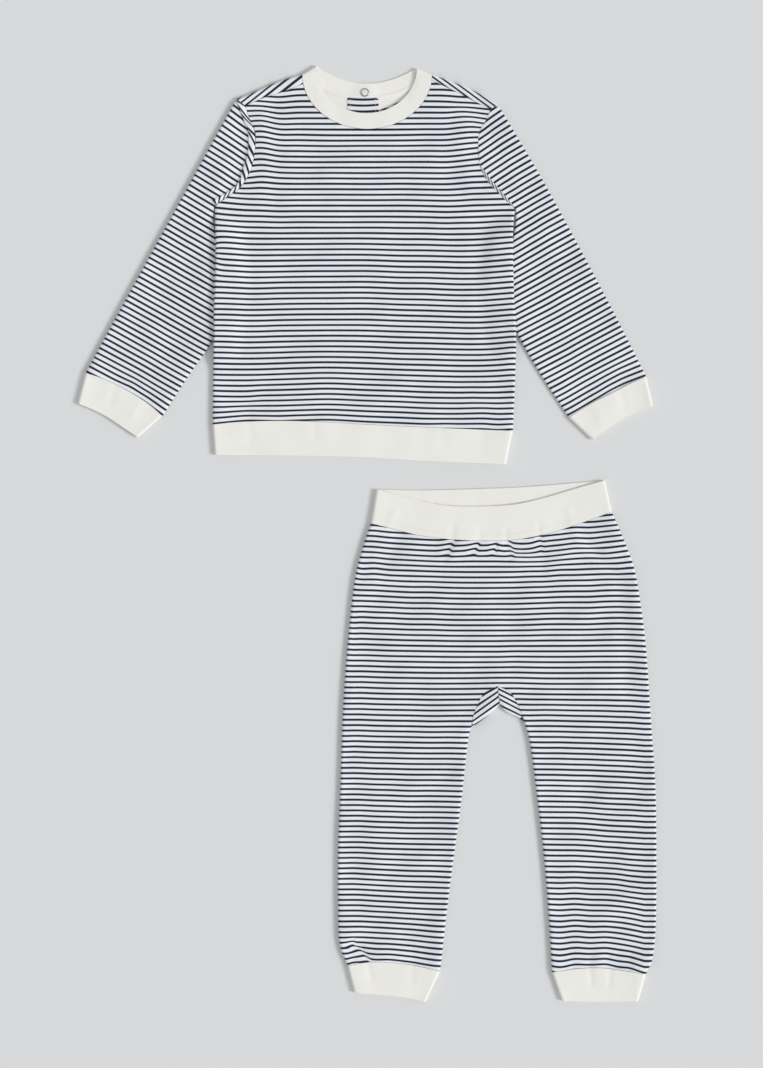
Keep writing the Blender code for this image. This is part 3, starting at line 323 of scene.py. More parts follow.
# A sleeve's columns and rows are measured along and across its own stripes, from its middle.
SLEEVE_TURN = 27.5
SLEEVE_MIDDLE_LEFT = (-177.65, 184.3)
SLEEVE_COLUMNS_LEFT = (-22.8, -3.8, 5.7, 15.2, 24.7, 34.2, 53.2)
SLEEVE_STRIPES_LEFT = [
    (58, -169.5, -166, -165, -164, -163, -162, -161), (55, -153.5, -150.4, -149, -148, -147, -146, -145),
    (52, -137.1, -134.7, -133.8, -132.8, -131.8, -131, -129),
    (49, -120.6, -118.9, -117.9, -117, -116, -115, -113),
    (46, -104.5, -103.2, -102.3, -101.3, -100.3, -99.5, -98),
    (43, -88.5, -87.3, -86.5, -86, -85.3, -84.5, -83),
    (40, -72.5, -71.3, -70.9, -70.5, -70, -69.5, -68.5),
    (37, -56.6, -55.5, -55, -54.6, -54, -53.6, -52.8),
    (34, -40.8, -39.8, -39.4, -39, -38.6, -38.2, -37.5),
    (31, -24.9, -24, -23.8, -23.4, -22.9, -22.5, -21.8), (28, -9.3, -8.5, -8.2, -7.8, -7.5, -6.7, -6),
    (25, 6.5, 6.9, 7.3, 7.6, 7.9, 8.2, 8.8), (22, 21.9, 22.3, 22.7, 22.9, 23.2, 23.6, 24.2),
    (19, 37.3, 37.8, 38, 38.3, 38.7, 39, 39.6), (16, 52.7, 53.2, 53.4, 53.8, 54.1, 54.4, 55),
    (13, 68.1, 68.5, 68.7, 69.1, 69.5, 69.7, 70.4), (10, 83.4, 83.9, 84.2, 84.5, 84.8, 85.3, 85.9),
    (7, 98.9, 99.4, 99.6, 99.8, 100.2, 100.7, 101.3), (4, 114.6, 114.7, 114.8, 115, 115.4, 115.9, 116.7),
    (1, 129.3, 129.5, 129.1, 128.5, 129.3, 130, 132.5),
    (0, 134.8, 134.4, 133.8, 133.9, 134.2, 135.1, 137.9),
]
SLEEVE_MIDDLE_RIGHT = (183.35, 186.2)
SLEEVE_COLUMNS_RIGHT = (-53.2, -34.2, -24.7, -15.2, -5.7, 3.8, 22.8)
SLEEVE_STRIPES_RIGHT = [
    (56, -156, -158, -158.8, -159.8, -160.8, -162.3, -164.5),
    (53, -140, -142, -142.8, -143.8, -144.8, -146.3, -148.3),
    (50, -124, -126, -127, -128, -129.1, -130.2, -131.3),
    (47, -108.5, -110, -111, -112, -112.9, -113.8, -114.7),
    (44, -92.8, -94.2, -95, -96.1, -96.9, -97.7, -98.4),
    (41, -78, -79.3, -80, -80.6, -81.1, -81.8, -82.4), (38, -63, -64, -64.5, -65, -65.4, -65.8, -66.3),
    (35, -47, -47.8, -48.3, -48.9, -49.4, -50, -50.3),
    (32, -31.4, -32.2, -32.5, -33.2, -33.5, -34.1, -34.3),
    (29, -15.9, -16.4, -17, -17.3, -17.8, -18.1, -18.4), (26, -0.6, -1, -1.2, -1.6, -1.9, -2.1, -2.6),
    (23, 15, 14.6, 14.4, 14.2, 13.9, 13.7, 13.4), (20, 30.1, 30.2, 30.1, 29.7, 29.6, 29.4, 29.2),
    (17, 45.6, 45.6, 45.6, 45.4, 45.2, 44.9, 44.7), (14, 61, 61.1, 61, 60.8, 60.7, 60.6, 60.1),
    (11, 76.5, 76.6, 76.3, 76.1, 76, 75.9, 75.8), (8, 92, 91.9, 91.5, 91.3, 91.2, 91.2, 91.2),
    (5, 107.5, 106.6, 106.4, 106.4, 106.4, 106.5, 106.7),
    (2, 122.4, 121.6, 121.4, 120.9, 120.7, 120.8, 122.5),
    (0, 132.3, 131.2, 130.8, 130.2, 130.2, 130.7, 133),
]
# Where the back's stripes lie on the strip that is folded forward at each shoulder, and at the
# crotch: the direction across them, then each stripe's distance that way and its number.
SHOULDER_STRIPES_LEFT = ((0.616, 0.788), ((-45.6, 60), (-41.1, 61), (-36.4, 62), (-29.9, 63)))
SHOULDER_STRIPES_RIGHT = ((-0.588, 0.809), ((-40.2, 60), (-36.1, 61), (-31.8, 62), (-27.7, 63)))
BODY_PITCH = 5.28
TROUSERS_PITCH = 5.1
CROTCH_LINES_LEFT = [
    ((-15.9, 204.3), (-2.8, 196.9)), ((-19.1, 213.3), (-0.6, 200.5)), ((-21.3, 220.4), (-9.9, 212.2)),
    ((-24.6, 228.6), (-9.9, 218.2)), ((-21.9, 231.3), (-8.2, 222.6)),
]
CROTCH_LINES_RIGHT = [
    ((1, 197.5), (12, 202.9)), ((1, 202.4), (18, 211.1)), ((6.6, 209.5), (22.3, 217.9)),
    ((6, 214.7), (23.9, 223.3)),
]


# Creases: a path, its height (a trough is negative) and how far it spreads to each side.
BODY_CREASES = [
    ([(-100, 48), (-97, 80), (-99, 112)], 0.9, 8),
    ([(-88, 52), (-84, 90), (-88, 130)], -0.8, 9),
    ([(92, 45), (93, 80), (98, 118)], 0.9, 8),
    ([(78, 58), (77, 92), (84, 128)], -0.8, 9),
    ([(108, 150), (113, 196), (118, 252)], -1, 10),
    ([(95, 168), (99, 214), (104, 262)], 0.8, 9),
    ([(-118, 165), (-116, 210), (-122, 262)], -0.8, 9),
    ([(-50.4, 334), (-50.4, 341)], -0.8, 5),
    ([(-113, 322), (-112, 338)], -0.7, 5),
    ([(-30, 150), (-52, 205), (-48, 262)], 0.5, 16),
    ([(28, 128), (36, 186), (22, 250)], -0.5, 18),
    ([(52, 250), (66, 290), (62, 330)], 0.5, 12),
    ([(-92, 268), (-84, 300), (-88, 332)], 0.5, 11),
]
TROUSERS_CREASES = [
    ([(-43.8, 57), (-50.5, 76.4)], -1.1, 3.2),
    ([(-36, 58), (-41, 72)], 0.6, 4),
    ([(-17.6, 58.9), (-23.8, 68)], -0.9, 2.8),
    ([(-1.6, 58.5), (-3, 68)], -0.8, 2.5),
    ([(8.2, 58.5), (12.8, 72.5)], -0.9, 2.8),
    ([(39.6, 52.5), (41.5, 63)], -0.7, 2.5),
    ([(42.3, 68.2), (44.2, 77.4), (42.3, 90)], -0.8, 5),
    ([(71.5, 50), (81.2, 64.1), (99.4, 86)], 0.9, 5),
    ([(81, 50), (90.7, 64.1), (108.9, 84)], -0.8, 4.5),
    ([(117.3, 89.3), (122, 140), (124.9, 198.6)], -0.9, 8),
    ([(107, 96), (110, 150), (112, 205)], 0.6, 8),
    ([(-104.8, 50), (-116.3, 72.9), (-126.6, 106)], 0.9, 6),
    ([(-93, 52), (-103, 76), (-112, 112)], -0.8, 6),
    ([(-137.3, 440.6), (-131.6, 443.7), (-127.1, 448.8), (-122.7, 456)], -1.2, 3),
    ([(-112, 440), (-106, 455)], 0.6, 5),
    ([(-80, 448), (-79, 458)], -0.6, 3.5),
    ([(87.7, 462), (88.5, 452)], -0.9, 2.8),
    ([(106.9, 462), (105, 450)], -0.9, 2.8),
    ([(97, 462), (97, 446)], 0.6, 4),
    ([(124, 464), (126, 448)], -0.6, 3.5),
    ([(72, 463), (70, 448)], -0.5, 3.5),
    ([(0, 190), (2, 150), (-4, 112)], 0.7, 10),
    ([(-30, 238), (-62, 228), (-96, 232)], 0.5, 12),
    ([(30, 236), (64, 246), (98, 240)], -0.5, 12),
    ([(-118, 262), (-112, 330), (-120, 400)], 0.6, 13),
    ([(-74, 288), (-80, 356), (-72, 420)], -0.6, 13),
    ([(88, 276), (80, 344), (90, 414)], -0.6, 13),
    ([(124, 262), (120, 332), (128, 402)], 0.6, 12),
]
SLEEVE_CREASES_LEFT = [
    ([(-121, 56), (-118, 80), (-124, 104), (-136, 122)], -1.4, 6.5),
    ([(-132, 60), (-133, 88), (-141, 112), (-152, 130)], 0.9, 9),
    ([(-150, 98), (-160, 132), (-172, 168)], 0.5, 12),
    ([(-160, 190), (-178, 236), (-202, 282)], -0.5, 12),
    ([(-232, 262), (-240, 286)], 0.5, 7),
    ([(-216, 300), (-210, 312)], -0.6, 4),
]
SLEEVE_CREASES_RIGHT = [
    ([(122, 78), (130, 108), (146, 138)], -0.9, 8),
    ([(150, 106), (162, 142), (176, 176)], 0.5, 12),
    ([(158, 196), (176, 238), (202, 284)], -0.5, 12),
    ([(228, 258), (238, 284)], 0.5, 7),
    ([(214, 300), (208, 314)], -0.6, 4),
]
# Where the trousers' stripes climb to a short crease and drop past it: the crease, how far they
# climb, and how far that spreads to its left and to its right.
KINKS = [
    ([(-40.5, 50), (-46.5, 67)], 1.9, 8, 1.8),
    ([(-15.5, 52), (-21.5, 66)], 2, 7, 1.8),
    ([(0.5, 54), (-4, 66)], 1.5, 5, 1.8),
    ([(8.5, 54), (14, 68)], 1.8, 5, 1.8),
    ([(38.5, 50), (41.5, 64)], 1.3, 7, 2),
    ([(-137.3, 441), (-131.6, 444), (-127.1, 448.8), (-122.7, 455)], 2.2, 7, 1.8),
]
KINK_END = 5.0          # past its crease's ends a kink dies out over this distance

# The cloth folded over along each armhole: its free edge, and its stripes.
FOLD_EDGE_LEFT = [
    (-146.5, 127.6), (-130.6, 118.9), (-120.8, 109.2), (-118.8, 100.1), (-113.4, 83.7), (-112.7, 61.7),
    (-116.3, 53.4), (-123.4, 34.5),
]
FOLD_LINES_LEFT = [
    ((-120, 40.3), (-109.8, 54.2)), ((-118.8, 46.1), (-108.9, 57.5)), ((-110.6, 60.8), (-105.7, 66.9)),
    ((-113, 61.6), (-106.1, 75.1)), ((-111.4, 75.9), (-106.9, 85.4)), ((-112.6, 84.6), (-109.3, 94.4)),
    ((-115.1, 91.9), (-111.8, 103)), ((-117.5, 99.3), (-114.3, 109.9)),
    ((-120.4, 109.1), (-118.8, 116.5)), ((-124.1, 111.5), (-124.9, 122.3)),
    ((-129, 116.1), (-131.9, 127.1)), ((-133.1, 121.4), (-136.4, 128.8)),
    ((-138, 127.6), (-140.5, 130.4)), ((-144.6, 129.6), (-146.2, 132.9)),
]
FOLD_WIDTH_RIGHT = 3.4  # the right one is narrow, runs up half the armhole and tapers off
FOLD_TAPERED_END = 0.02
FOLD_PITCH_RIGHT = 6.0  # its stripes along the seam, and how far each slants along it
FOLD_SLANT_RIGHT = 8.0
FOLD_STRIPES_RIGHT = range(-3, 20)
FOLD_ENDS = 2.0         # a fold stops this far from the ends of its armhole
FOLD_SHARES = np.array([0.0, 0.08, 0.2, 0.35, 0.5, 0.65, 0.8, 0.9, 0.97, 1.0])
FOLD_APART = 0.01       # least distance between two of its stripes, in stations
FOLD_LEAD = 6.0         # stations from the first stripe back to where one more would be
FOLD_TAIL = 14.0        # and from the last one on
FOLD_RISE = 1.5         # how far the folded cloth stands above the sleeve
FOLD_TAPER = 3.0        # it comes down to the seam over this distance
FOLD_ROUND = 0.7        # and is rounded off at its free edge over this one
FOLD_CLEAR = 0.06       # gap between it and the sleeve, and its least thickness
LINING_IN = 8.0         # the neck lining ends this far from the neck points
LINING_LAP = 0.8        # it laps onto the neckband this far
LINING_UP = 1.0         # and ends this far above the front neck seam
LINING_LEAST = 2.5      # its least depth
LINING_UNDER = 1.0      # level of its underside on the back panel
LINING_CLIMB = 1.0      # how much higher it lies on the neckband
LINING_DROP = 4.0       # it comes down from there over this distance
LINING_WALL = 0.5
LINING_EDGE = [(-60, 66), (0, 66), (4, 60), (8.5, 43.6), (40, 30.2), (60, 20)]
HIDDEN_CREASES = 0.6    # the underside's creases, next to the upper layer's
WAVE_HEIGHT = 0.22      # slow waves all over the cloth
WAVES = 9
WAVE_LENGTHS = (26, 85)
FOLD_CALM = 7.0         # creases and waves die out this close to a folded edge

# Where each garment's reference point lies on the surface, in millimetres.
TOP_AT = (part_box("placket_facing")[0].x / MM - FACING_LEFT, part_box("neckband")[1].y / MM)
TROUSERS_AT = (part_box("trousers_back_right")[0].x / MM - SEAM_GAP / 2,
               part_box("trousers_front")[1].y / MM + WAIST_SEAM_FRONT[-1][1])


# ---------------------------------------------------------------- outlines


def smooth(points):
    """A smooth curve through the points, as closely spaced points."""
    points = np.asarray(points, float)
    if len(points) == 2:
        return points
    ends = [2 * points[0] - points[1], *points, 2 * points[-1] - points[-2]]
    curve = [points[0]]
    for a, b, c, d in zip(ends, ends[1:], ends[2:], ends[3:]):
        for step in range(1, CURVE_STEPS + 1):
            t = step / CURVE_STEPS
            curve.append(0.5 * (2 * b + (c - a) * t + (2 * a - 5 * b + 4 * c - d) * t ** 2
                                + (3 * b - a - 3 * c + d) * t ** 3))
    return np.array(curve)


def run(points, steps, start=(), end=()):
    """Points along a smooth curve: evenly spaced, but at the given distances near the ends."""
    curve = smooth(points)
    along = np.concatenate([[0], np.cumsum(np.linalg.norm(np.diff(curve, axis=0), axis=1))])
    first = start[-1] if start else 0.0
    last = along[-1] - (end[-1] if end else 0.0)
    stops = [0.0, *start[:-1]] if start else []
    stops += list(np.linspace(first, last, steps + 1))
    stops += [along[-1] - gap for gap in reversed(end[:-1])] + [along[-1]] if end else []
    return np.array([[np.interp(s, along, curve[:, k]) for k in (0, 1)] for s in stops])


def chain(*runs):
    """Runs joined end to end, each starting where the last one stops."""
    return np.concatenate([runs[0]] + [part[1:] for part in runs[1:]])


def arch(left, right, depth, power):
    """A neck edge hanging between two points: power 2 is a half ellipse, 1 is shallower."""
    curve = []
    for step in range(4 * CURVE_STEPS + 1):
        t = step / (4 * CURVE_STEPS)
        swing = -math.cos(math.pi * t)
        base = left[1] + (right[1] - left[1]) * t
        drop = (1 - swing ** 2) ** (1 / power)
        across = (left[0] + right[0]) / 2 + swing * (right[0] - left[0]) / 2
        curve.append((across, base + (depth - base) * drop))
    return curve


def moved(points, distance):
    """The curve moved sideways, to its right as one walks along it on the page."""
    points = np.asarray(points, float)
    ahead = np.gradient(points, axis=0)
    ahead /= np.linalg.norm(ahead, axis=1)[:, None]
    return points + distance * np.stack([-ahead[:, 1], ahead[:, 0]], axis=1)


def fill(bottom, top, left, right):
    """A grid of points between four border runs; left and right go from bottom to top."""
    def shares(border):
        steps = np.linalg.norm(np.diff(border, axis=0), axis=1)
        if steps.sum() == 0:
            return np.linspace(0, 1, len(border))
        return np.concatenate([[0], np.cumsum(steps)]) / steps.sum()

    rows = ((shares(left) + shares(right)) / 2)[:, None]
    cols = (1 - rows) * shares(bottom)[None, :] + rows * shares(top)[None, :]
    v, u = rows[:, :, None], cols[:, :, None]
    bottom_bow = bottom[None] - (1 - u) * bottom[0] - u * bottom[-1]
    top_bow = top[None] - (1 - u) * top[0] - u * top[-1]
    straight = (1 - u) * left[:, None] + u * right[:, None]
    return straight + (1 - v) * bottom_bow + v * top_bow


def between(curve, first, last):
    """The part of a curve between two points that lie on it."""
    curve = smooth(curve)
    start, stop = (np.linalg.norm(curve - point, axis=1).argmin() for point in (first, last))
    return np.array([first, *curve[start + 1:stop], last])


# ---------------------------------------------------------------- how the layers lie


def nearest(points, path):
    """Each point's distance to a path, and the direction from the cloth out over the path."""
    path = np.asarray(path, float)
    starts, spans = path[:-1], np.diff(path, axis=0)
    keep = np.linalg.norm(spans, axis=1) > 1e-9
    starts, spans = starts[keep], spans[keep]
    offset = points[..., None, :] - starts
    share = np.clip((offset * spans).sum(-1) / (spans ** 2).sum(-1), 0, 1)
    away = starts + share[..., None] * spans - points[..., None, :]
    distance = np.linalg.norm(away, axis=-1)
    best = distance.argmin(-1)
    distance = np.take_along_axis(distance, best[..., None], -1)[..., 0]
    away = np.take_along_axis(away, best[..., None, None], -2)[..., 0, :]
    side = np.stack([-spans[:, 1], spans[:, 0]], axis=1)
    side = (side / np.linalg.norm(side, axis=1)[:, None])[best]
    on_path = distance < ON_PATH
    out = np.where(on_path[..., None], side, away / np.maximum(distance, ON_PATH)[..., None])
    return distance, out


def slope(points, path, level, ramp):
    """1 within a level distance of a path, falling smoothly to 0 over the ramp beyond it."""
    share = np.clip((nearest(points, path)[0] - level) / ramp, 0, 1)
    return 1 - share ** 2 * (3 - 2 * share)


def standing(points, creases):
    """How far creases raise or lower the cloth."""
    height = np.zeros(points.shape[:-1])
    for path, rise, spread in creases:
        height += rise * np.exp(-(nearest(points, smooth(path))[0] / spread) ** 2)
    return height


def waves(points, seed):
    """Slow low waves, the same each time for a seed."""
    chance = np.random.default_rng(seed)
    height = np.zeros(points.shape[:-1])
    for _ in range(WAVES):
        turn, phase = chance.uniform(0, 2 * math.pi, 2)
        length = chance.uniform(*WAVE_LENGTHS)
        along = points[..., 0] * math.cos(turn) + points[..., 1] * math.sin(turn)
        height += np.sin(2 * math.pi * along / length + phase)
    return height * WAVE_HEIGHT


class Lay:
    """How two layers of cloth lie: folded edges, thickness, what they climb over, creases."""

    def __init__(self, flat, folds, bulges=(), lifts=(), creases=(), seed=0, waving=1.0):
        self.flat = flat
        self.folds = [(smooth(path), height) for path, height in folds]
        self.bulges = bulges
        self.lifts = lifts
        self.creases = creases
        self.seed = seed
        self.waving = waving

    def levels(self, points):
        """Heights of the underside and of the top side, away from the rounded edge."""
        extra = np.zeros(points.shape[:-1])
        for path, height in self.folds:
            distance = nearest(points, path)[0]
            extra = np.maximum(extra, (height - self.flat) * np.exp(-(distance / EDGE_REACH) ** 2))
        for path, height, level, ramp in self.bulges:
            extra = np.maximum(extra, height * slope(points, path, level, ramp))
        low = np.zeros(points.shape[:-1])
        for path, height, level, ramp in self.lifts:
            low = np.maximum(low, height * slope(points, path, level, ramp))
        return low, low + self.flat + extra

    def relief(self, points, distance, side):
        """Creases and waves of one layer, calm near the folded edges."""
        calm = np.clip(distance / FOLD_CALM, 0, 1)
        calm = calm * calm * (3 - 2 * calm)
        height = standing(points, self.creases)
        height = height + self.waving * waves(points, self.seed + (side < 0))
        if side < 0:
            height = np.abs(height) * HIDDEN_CREASES
        return calm * np.maximum(height, -LOWEST)

    def sheet(self, points, side, wall, gap=0.0, seams=()):
        """Outer and inner points of a cloth wall: side is 1 for the upper layer, -1 for the lower.

        A lower layer ends half-way up its folded edges.  An upper layer that is a piece of its
        own stays a gap above that, and one that is the same piece has no gap.  The wall is set
        in along a seam where it crosses a folded edge, so that it stays on its side of the seam.
        """
        low, high = self.levels(points)
        distance, out = nearest(points, self.folds[0][0])
        for path, _ in self.folds[1:]:
            other, other_out = nearest(points, path)
            closer = other < distance
            out = np.where(closer[..., None], other_out, out)
            distance = np.where(closer, other, distance)
        half = (high - low) / 2 - gap
        start = (high + low) / 2 + side * gap
        inward = np.clip(1 - distance / FOLD_RADIUS, 0, 1)
        upward = np.sqrt(1 - inward ** 2)
        height = start + side * half * upward + self.relief(points, distance, side)
        normal = np.concatenate([out * (inward / FOLD_RADIUS)[..., None],
                                 (side * upward / half)[..., None]], axis=-1)
        normal /= np.linalg.norm(normal, axis=-1)[..., None]
        plan = normal[..., :2].copy()
        for seam in seams:
            along = np.gradient(np.asarray(seam, float), axis=0)
            along /= np.linalg.norm(along, axis=1)[:, None]
            apart = np.linalg.norm(points[..., None, :] - seam, axis=-1)
            place, on_seam = apart.argmin(-1), apart.min(-1) < SAME_POINT
            share = (plan * along[place]).sum(-1)
            share = np.where(place == 0, -np.linalg.norm(plan, axis=-1), share)
            share = np.where(place == len(along) - 1, np.linalg.norm(plan, axis=-1), share)
            set_in = share[..., None] * along[place]
            normal[..., :2] = np.where(on_seam[..., None], set_in, normal[..., :2])
        outer = np.concatenate([points, height[..., None]], axis=-1)
        return outer, outer - wall * normal

    def top(self, points):
        """Height of the upper layer's outer face."""
        return self.sheet(points, 1, JERSEY)[0][..., 2]


# ---------------------------------------------------------------- stripes and ribs


def fine_columns(columns, rows):
    """A stripe table with a smooth curve along each row, as closely spaced columns."""
    curves = [smooth(np.stack([columns, row[1:]], axis=1)) for row in rows]
    across = np.linspace(columns[0], columns[-1], 4 * CURVE_STEPS * len(columns))
    numbers = np.array([row[0] for row in rows], float)
    down = np.array([np.interp(across, curve[:, 0], curve[:, 1]) for curve in curves])
    return numbers, across, down


def count(table, across, down):
    """The stripe count at points: a whole number in the middle of each navy line."""
    numbers, columns, heights = fine_columns(*table)
    place = np.clip(np.interp(across, columns, np.arange(len(columns))), 0, len(columns) - 1.001)
    left = place.astype(int)
    share = place - left
    at = heights[:, left] * (1 - share) + heights[:, left + 1] * share
    result = np.zeros(np.shape(across))
    slopes = np.diff(numbers)[:, None] / np.diff(at.reshape(len(numbers), -1), axis=0)
    flat_down, flat = np.ravel(down), result.ravel()
    at = at.reshape(len(numbers), -1)
    row = np.clip((at <= flat_down).sum(0) - 1, 0, len(numbers) - 2)
    each = np.arange(len(flat_down))
    flat[:] = numbers[row] + (flat_down - at[row, each]) * slopes[row, each]
    return flat.reshape(np.shape(across))


def body_count(points):
    """Stripe count on the top's body."""
    return count((BODY_COLUMNS, BODY_STRIPES), points[..., 0], points[..., 1])


def sleeve_count(points, left):
    """Stripe count on a sleeve, whose stripes are turned with it."""
    turn = math.radians(SLEEVE_TURN if left else -SLEEVE_TURN)
    middle = SLEEVE_MIDDLE_LEFT if left else SLEEVE_MIDDLE_RIGHT
    table = (SLEEVE_COLUMNS_LEFT, SLEEVE_STRIPES_LEFT)
    if not left:
        table = (SLEEVE_COLUMNS_RIGHT, SLEEVE_STRIPES_RIGHT)
    x, y = points[..., 0] - middle[0], points[..., 1] - middle[1]
    along = x * math.cos(turn) + y * math.sin(turn)
    across = y * math.cos(turn) - x * math.sin(turn)
    return count(table, along, across)


def across_count(points, stripes):
    """Stripe count where stripes run straight at an angle."""
    direction, places = stripes
    distance, numbers = np.array(places).T
    along = points[..., 0] * direction[0] + points[..., 1] * direction[1]
    low, high = along - distance[0], along - distance[-1]
    result = np.interp(along, distance, numbers)
    first = (numbers[1] - numbers[0]) / (distance[1] - distance[0])
    last = (numbers[-1] - numbers[-2]) / (distance[-1] - distance[-2])
    return result + np.minimum(low, 0) * first + np.maximum(high, 0) * last


def fan_count(points, lines, first, step):
    """Stripe count between lines that need not be parallel."""
    ends = np.asarray(lines, float)
    span = ends[:, 1] - ends[:, 0]
    side = np.stack([-span[:, 1], span[:, 0]], axis=1)
    side /= np.linalg.norm(side, axis=1)[:, None]
    past = ((points[..., None, :] - ends[:, 0]) * side).sum(-1)
    gaps = past[..., :-1] - past[..., 1:]
    shares = past[..., :-1] / np.where(np.abs(gaps) < 0.5, 0.5, gaps)
    shares[..., 1:-1] = np.clip(shares[..., 1:-1], 0, 1)
    shares[..., 0] = np.minimum(shares[..., 0], 1)
    shares[..., -1] = np.maximum(shares[..., -1], 0)
    return first + step * shares.sum(-1)


# ---------------------------------------------------------------- meshes


KEY = 100               # outer points in the same hundredth of a millimetre are one point


def add_piece(name, mesh, material, replaces=()):
    """Put a mesh in the scene as a piece of the pyjamas."""
    mesh.materials.append(material)
    mesh.shade_smooth()
    mesh.set_sharp_from_angle(angle=math.radians(SHARP_ANGLE))
    piece = bpy.data.objects.new(name, mesh)
    bpy.context.scene.collection.objects.link(piece)
    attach(piece, "root")
    if replaces:
        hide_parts(*replaces)
    return piece


def cloth_mesh(name, sheets, at):
    """A closed cloth wall from sheets of outer and inner points, with its pattern per point.

    Each sheet is (outer, inner, pattern): pattern's three numbers are the stripe count and the
    distances along the courses and along the wales of the knit.
    """
    outer = np.concatenate([sheet[0].reshape(-1, 3) for sheet in sheets])
    inner = np.concatenate([sheet[1].reshape(-1, 3) for sheet in sheets])
    pattern = np.concatenate([sheet[2].reshape(-1, 3) for sheet in sheets])
    keys = np.round(outer * KEY).astype(np.int64)
    _, first, index = np.unique(keys, axis=0, return_index=True, return_inverse=True)
    index = np.ravel(index)
    outer, inner, pattern = outer[first], inner[first], pattern[first]
    quads, start = [], 0
    for sheet in sheets:
        rows, cols = sheet[0].shape[:2]
        grid = index[start:start + rows * cols].reshape(rows, cols)
        quads.append(np.stack([grid[:-1, :-1], grid[:-1, 1:], grid[1:, 1:], grid[1:, :-1]],
                              axis=-1).reshape(-1, 4))
        start += rows * cols
    total = len(outer)
    faces, uses = [], {}
    for quad in np.concatenate(quads).tolist():
        ring = [k for n, k in enumerate(quad) if k != quad[n - 1]]
        if len(set(ring)) < 3 or len(set(ring)) != len(ring):
            continue
        faces.append(ring)
        for a, b in zip(ring, ring[1:] + ring[:1]):
            uses.setdefault((min(a, b), max(a, b)), []).append((a, b))
    faces += [[k + total for k in reversed(ring)] for ring in faces]
    faces += [[b, a, a + total, b + total] for pairs in uses.values() if len(pairs) == 1
              for a, b in pairs]
    place = np.concatenate([outer, inner])
    place = np.stack([at[0] + place[:, 0], at[1] - place[:, 1], place[:, 2]], axis=1) * MM
    mesh = bpy.data.meshes.new(name)
    mesh.from_pydata(place.tolist(), [], faces)
    layer = mesh.attributes.new("knit", "FLOAT_VECTOR", "POINT")
    layer.data.foreach_set("vector", np.concatenate([pattern, pattern]).astype(np.float32).ravel())
    shell = bmesh.new()
    shell.from_mesh(mesh)
    bmesh.ops.recalc_face_normals(shell, faces=shell.faces)
    shell.to_mesh(mesh)
    shell.free()
    return mesh


def striped(grid, number, turn=0.0):
    """Pattern of a striped sheet: stripe count, and the knit's own two distances."""
    course = grid[..., 0] * math.cos(turn) + grid[..., 1] * math.sin(turn)
    return np.stack([number, course, number * BODY_PITCH], axis=-1)


def ribbed(grid):
    """Pattern of a rib sheet: its ribs are spaced along the band."""
    steps = np.linalg.norm(np.diff(grid, axis=1), axis=-1).mean(0)
    along = np.concatenate([[0], np.cumsum(steps)])
    down = np.linalg.norm(grid - grid[:1], axis=-1)
    return np.stack([np.zeros_like(down), np.broadcast_to(along, down.shape), down], axis=-1)


def tube(name, upper, lower, lay, wall, at, pattern, seams):
    """A flattened tube: an upper and a lower layer that are one piece at both folded edges."""
    sheets = []
    for grid, side in ((upper, 1), (lower, -1)):
        outer, inner = lay.sheet(grid, side, wall, seams=seams)
        sheets.append((outer, inner, pattern(grid)))
    return cloth_mesh(name, sheets, at)


# ---------------------------------------------------------------- the top


FRONT_NECK_SEAM = arch(NECK_SEAM_POINT_LEFT, NECK_SEAM_POINT_RIGHT, FRONT_NECK_SEAM_DEPTH, 2)
FRONT_NECK_EDGE = arch(NECK_POINT_LEFT, NECK_POINT_RIGHT, FRONT_NECK_DEPTH, 2)
BACK_NECK_SEAM = arch(NECK_SEAM_POINT_LEFT, NECK_SEAM_POINT_RIGHT, BACK_NECK_SEAM_DEPTH, 1)
BACK_NECK_EDGE = arch(NECK_POINT_LEFT, NECK_POINT_RIGHT, BACK_NECK_DEPTH, 1)

BODY_LAY = Lay(
    JERSEY_FLAT,
    folds=[(path, JERSEY_EDGE)
           for path in (SIDE_LEFT, SIDE_RIGHT, SHOULDER_FOLD_LEFT, SHOULDER_FOLD_RIGHT)],
    bulges=[(FRONT_NECK_SEAM, NECK_CLEARANCE, NECK_CLEARANCE_LEVEL, NECK_CLEARANCE_RAMP)],
    lifts=[(path, TUCK_LIFT, TUCK_FLAT, TUCK_RAMP) for path in (TUCK_LEFT, TUCK_RIGHT)],
    creases=BODY_CREASES, seed=11)


def armhole(left):
    """The armhole from the underarm to the shoulder seam, and on to the shoulder tip."""
    edge, tip = (ARMHOLE_LEFT, SHOULDER_TIP_LEFT) if left else (ARMHOLE_RIGHT, SHOULDER_TIP_RIGHT)
    return run(edge, ARMHOLE_STEPS), run([edge[-1], tip], WRAP_STEPS, (), ROUND)


def front_neck():
    """The front neck seam in three runs: the middle one is the front panel's."""
    ends = (FRONT_NECK_SEAM[0], SHOULDER_SEAM_LEFT[-1], SHOULDER_SEAM_RIGHT[0], FRONT_NECK_SEAM[-1])
    left, middle, right = (between(FRONT_NECK_SEAM, *pair) for pair in zip(ends, ends[1:]))
    return run(left, WRAP_STEPS), run(middle, NECK_STEPS), run(right, WRAP_STEPS)


def back_neck():
    """The back neck seam."""
    return run(BACK_NECK_SEAM, NECK_STEPS + 2 * WRAP_STEPS)


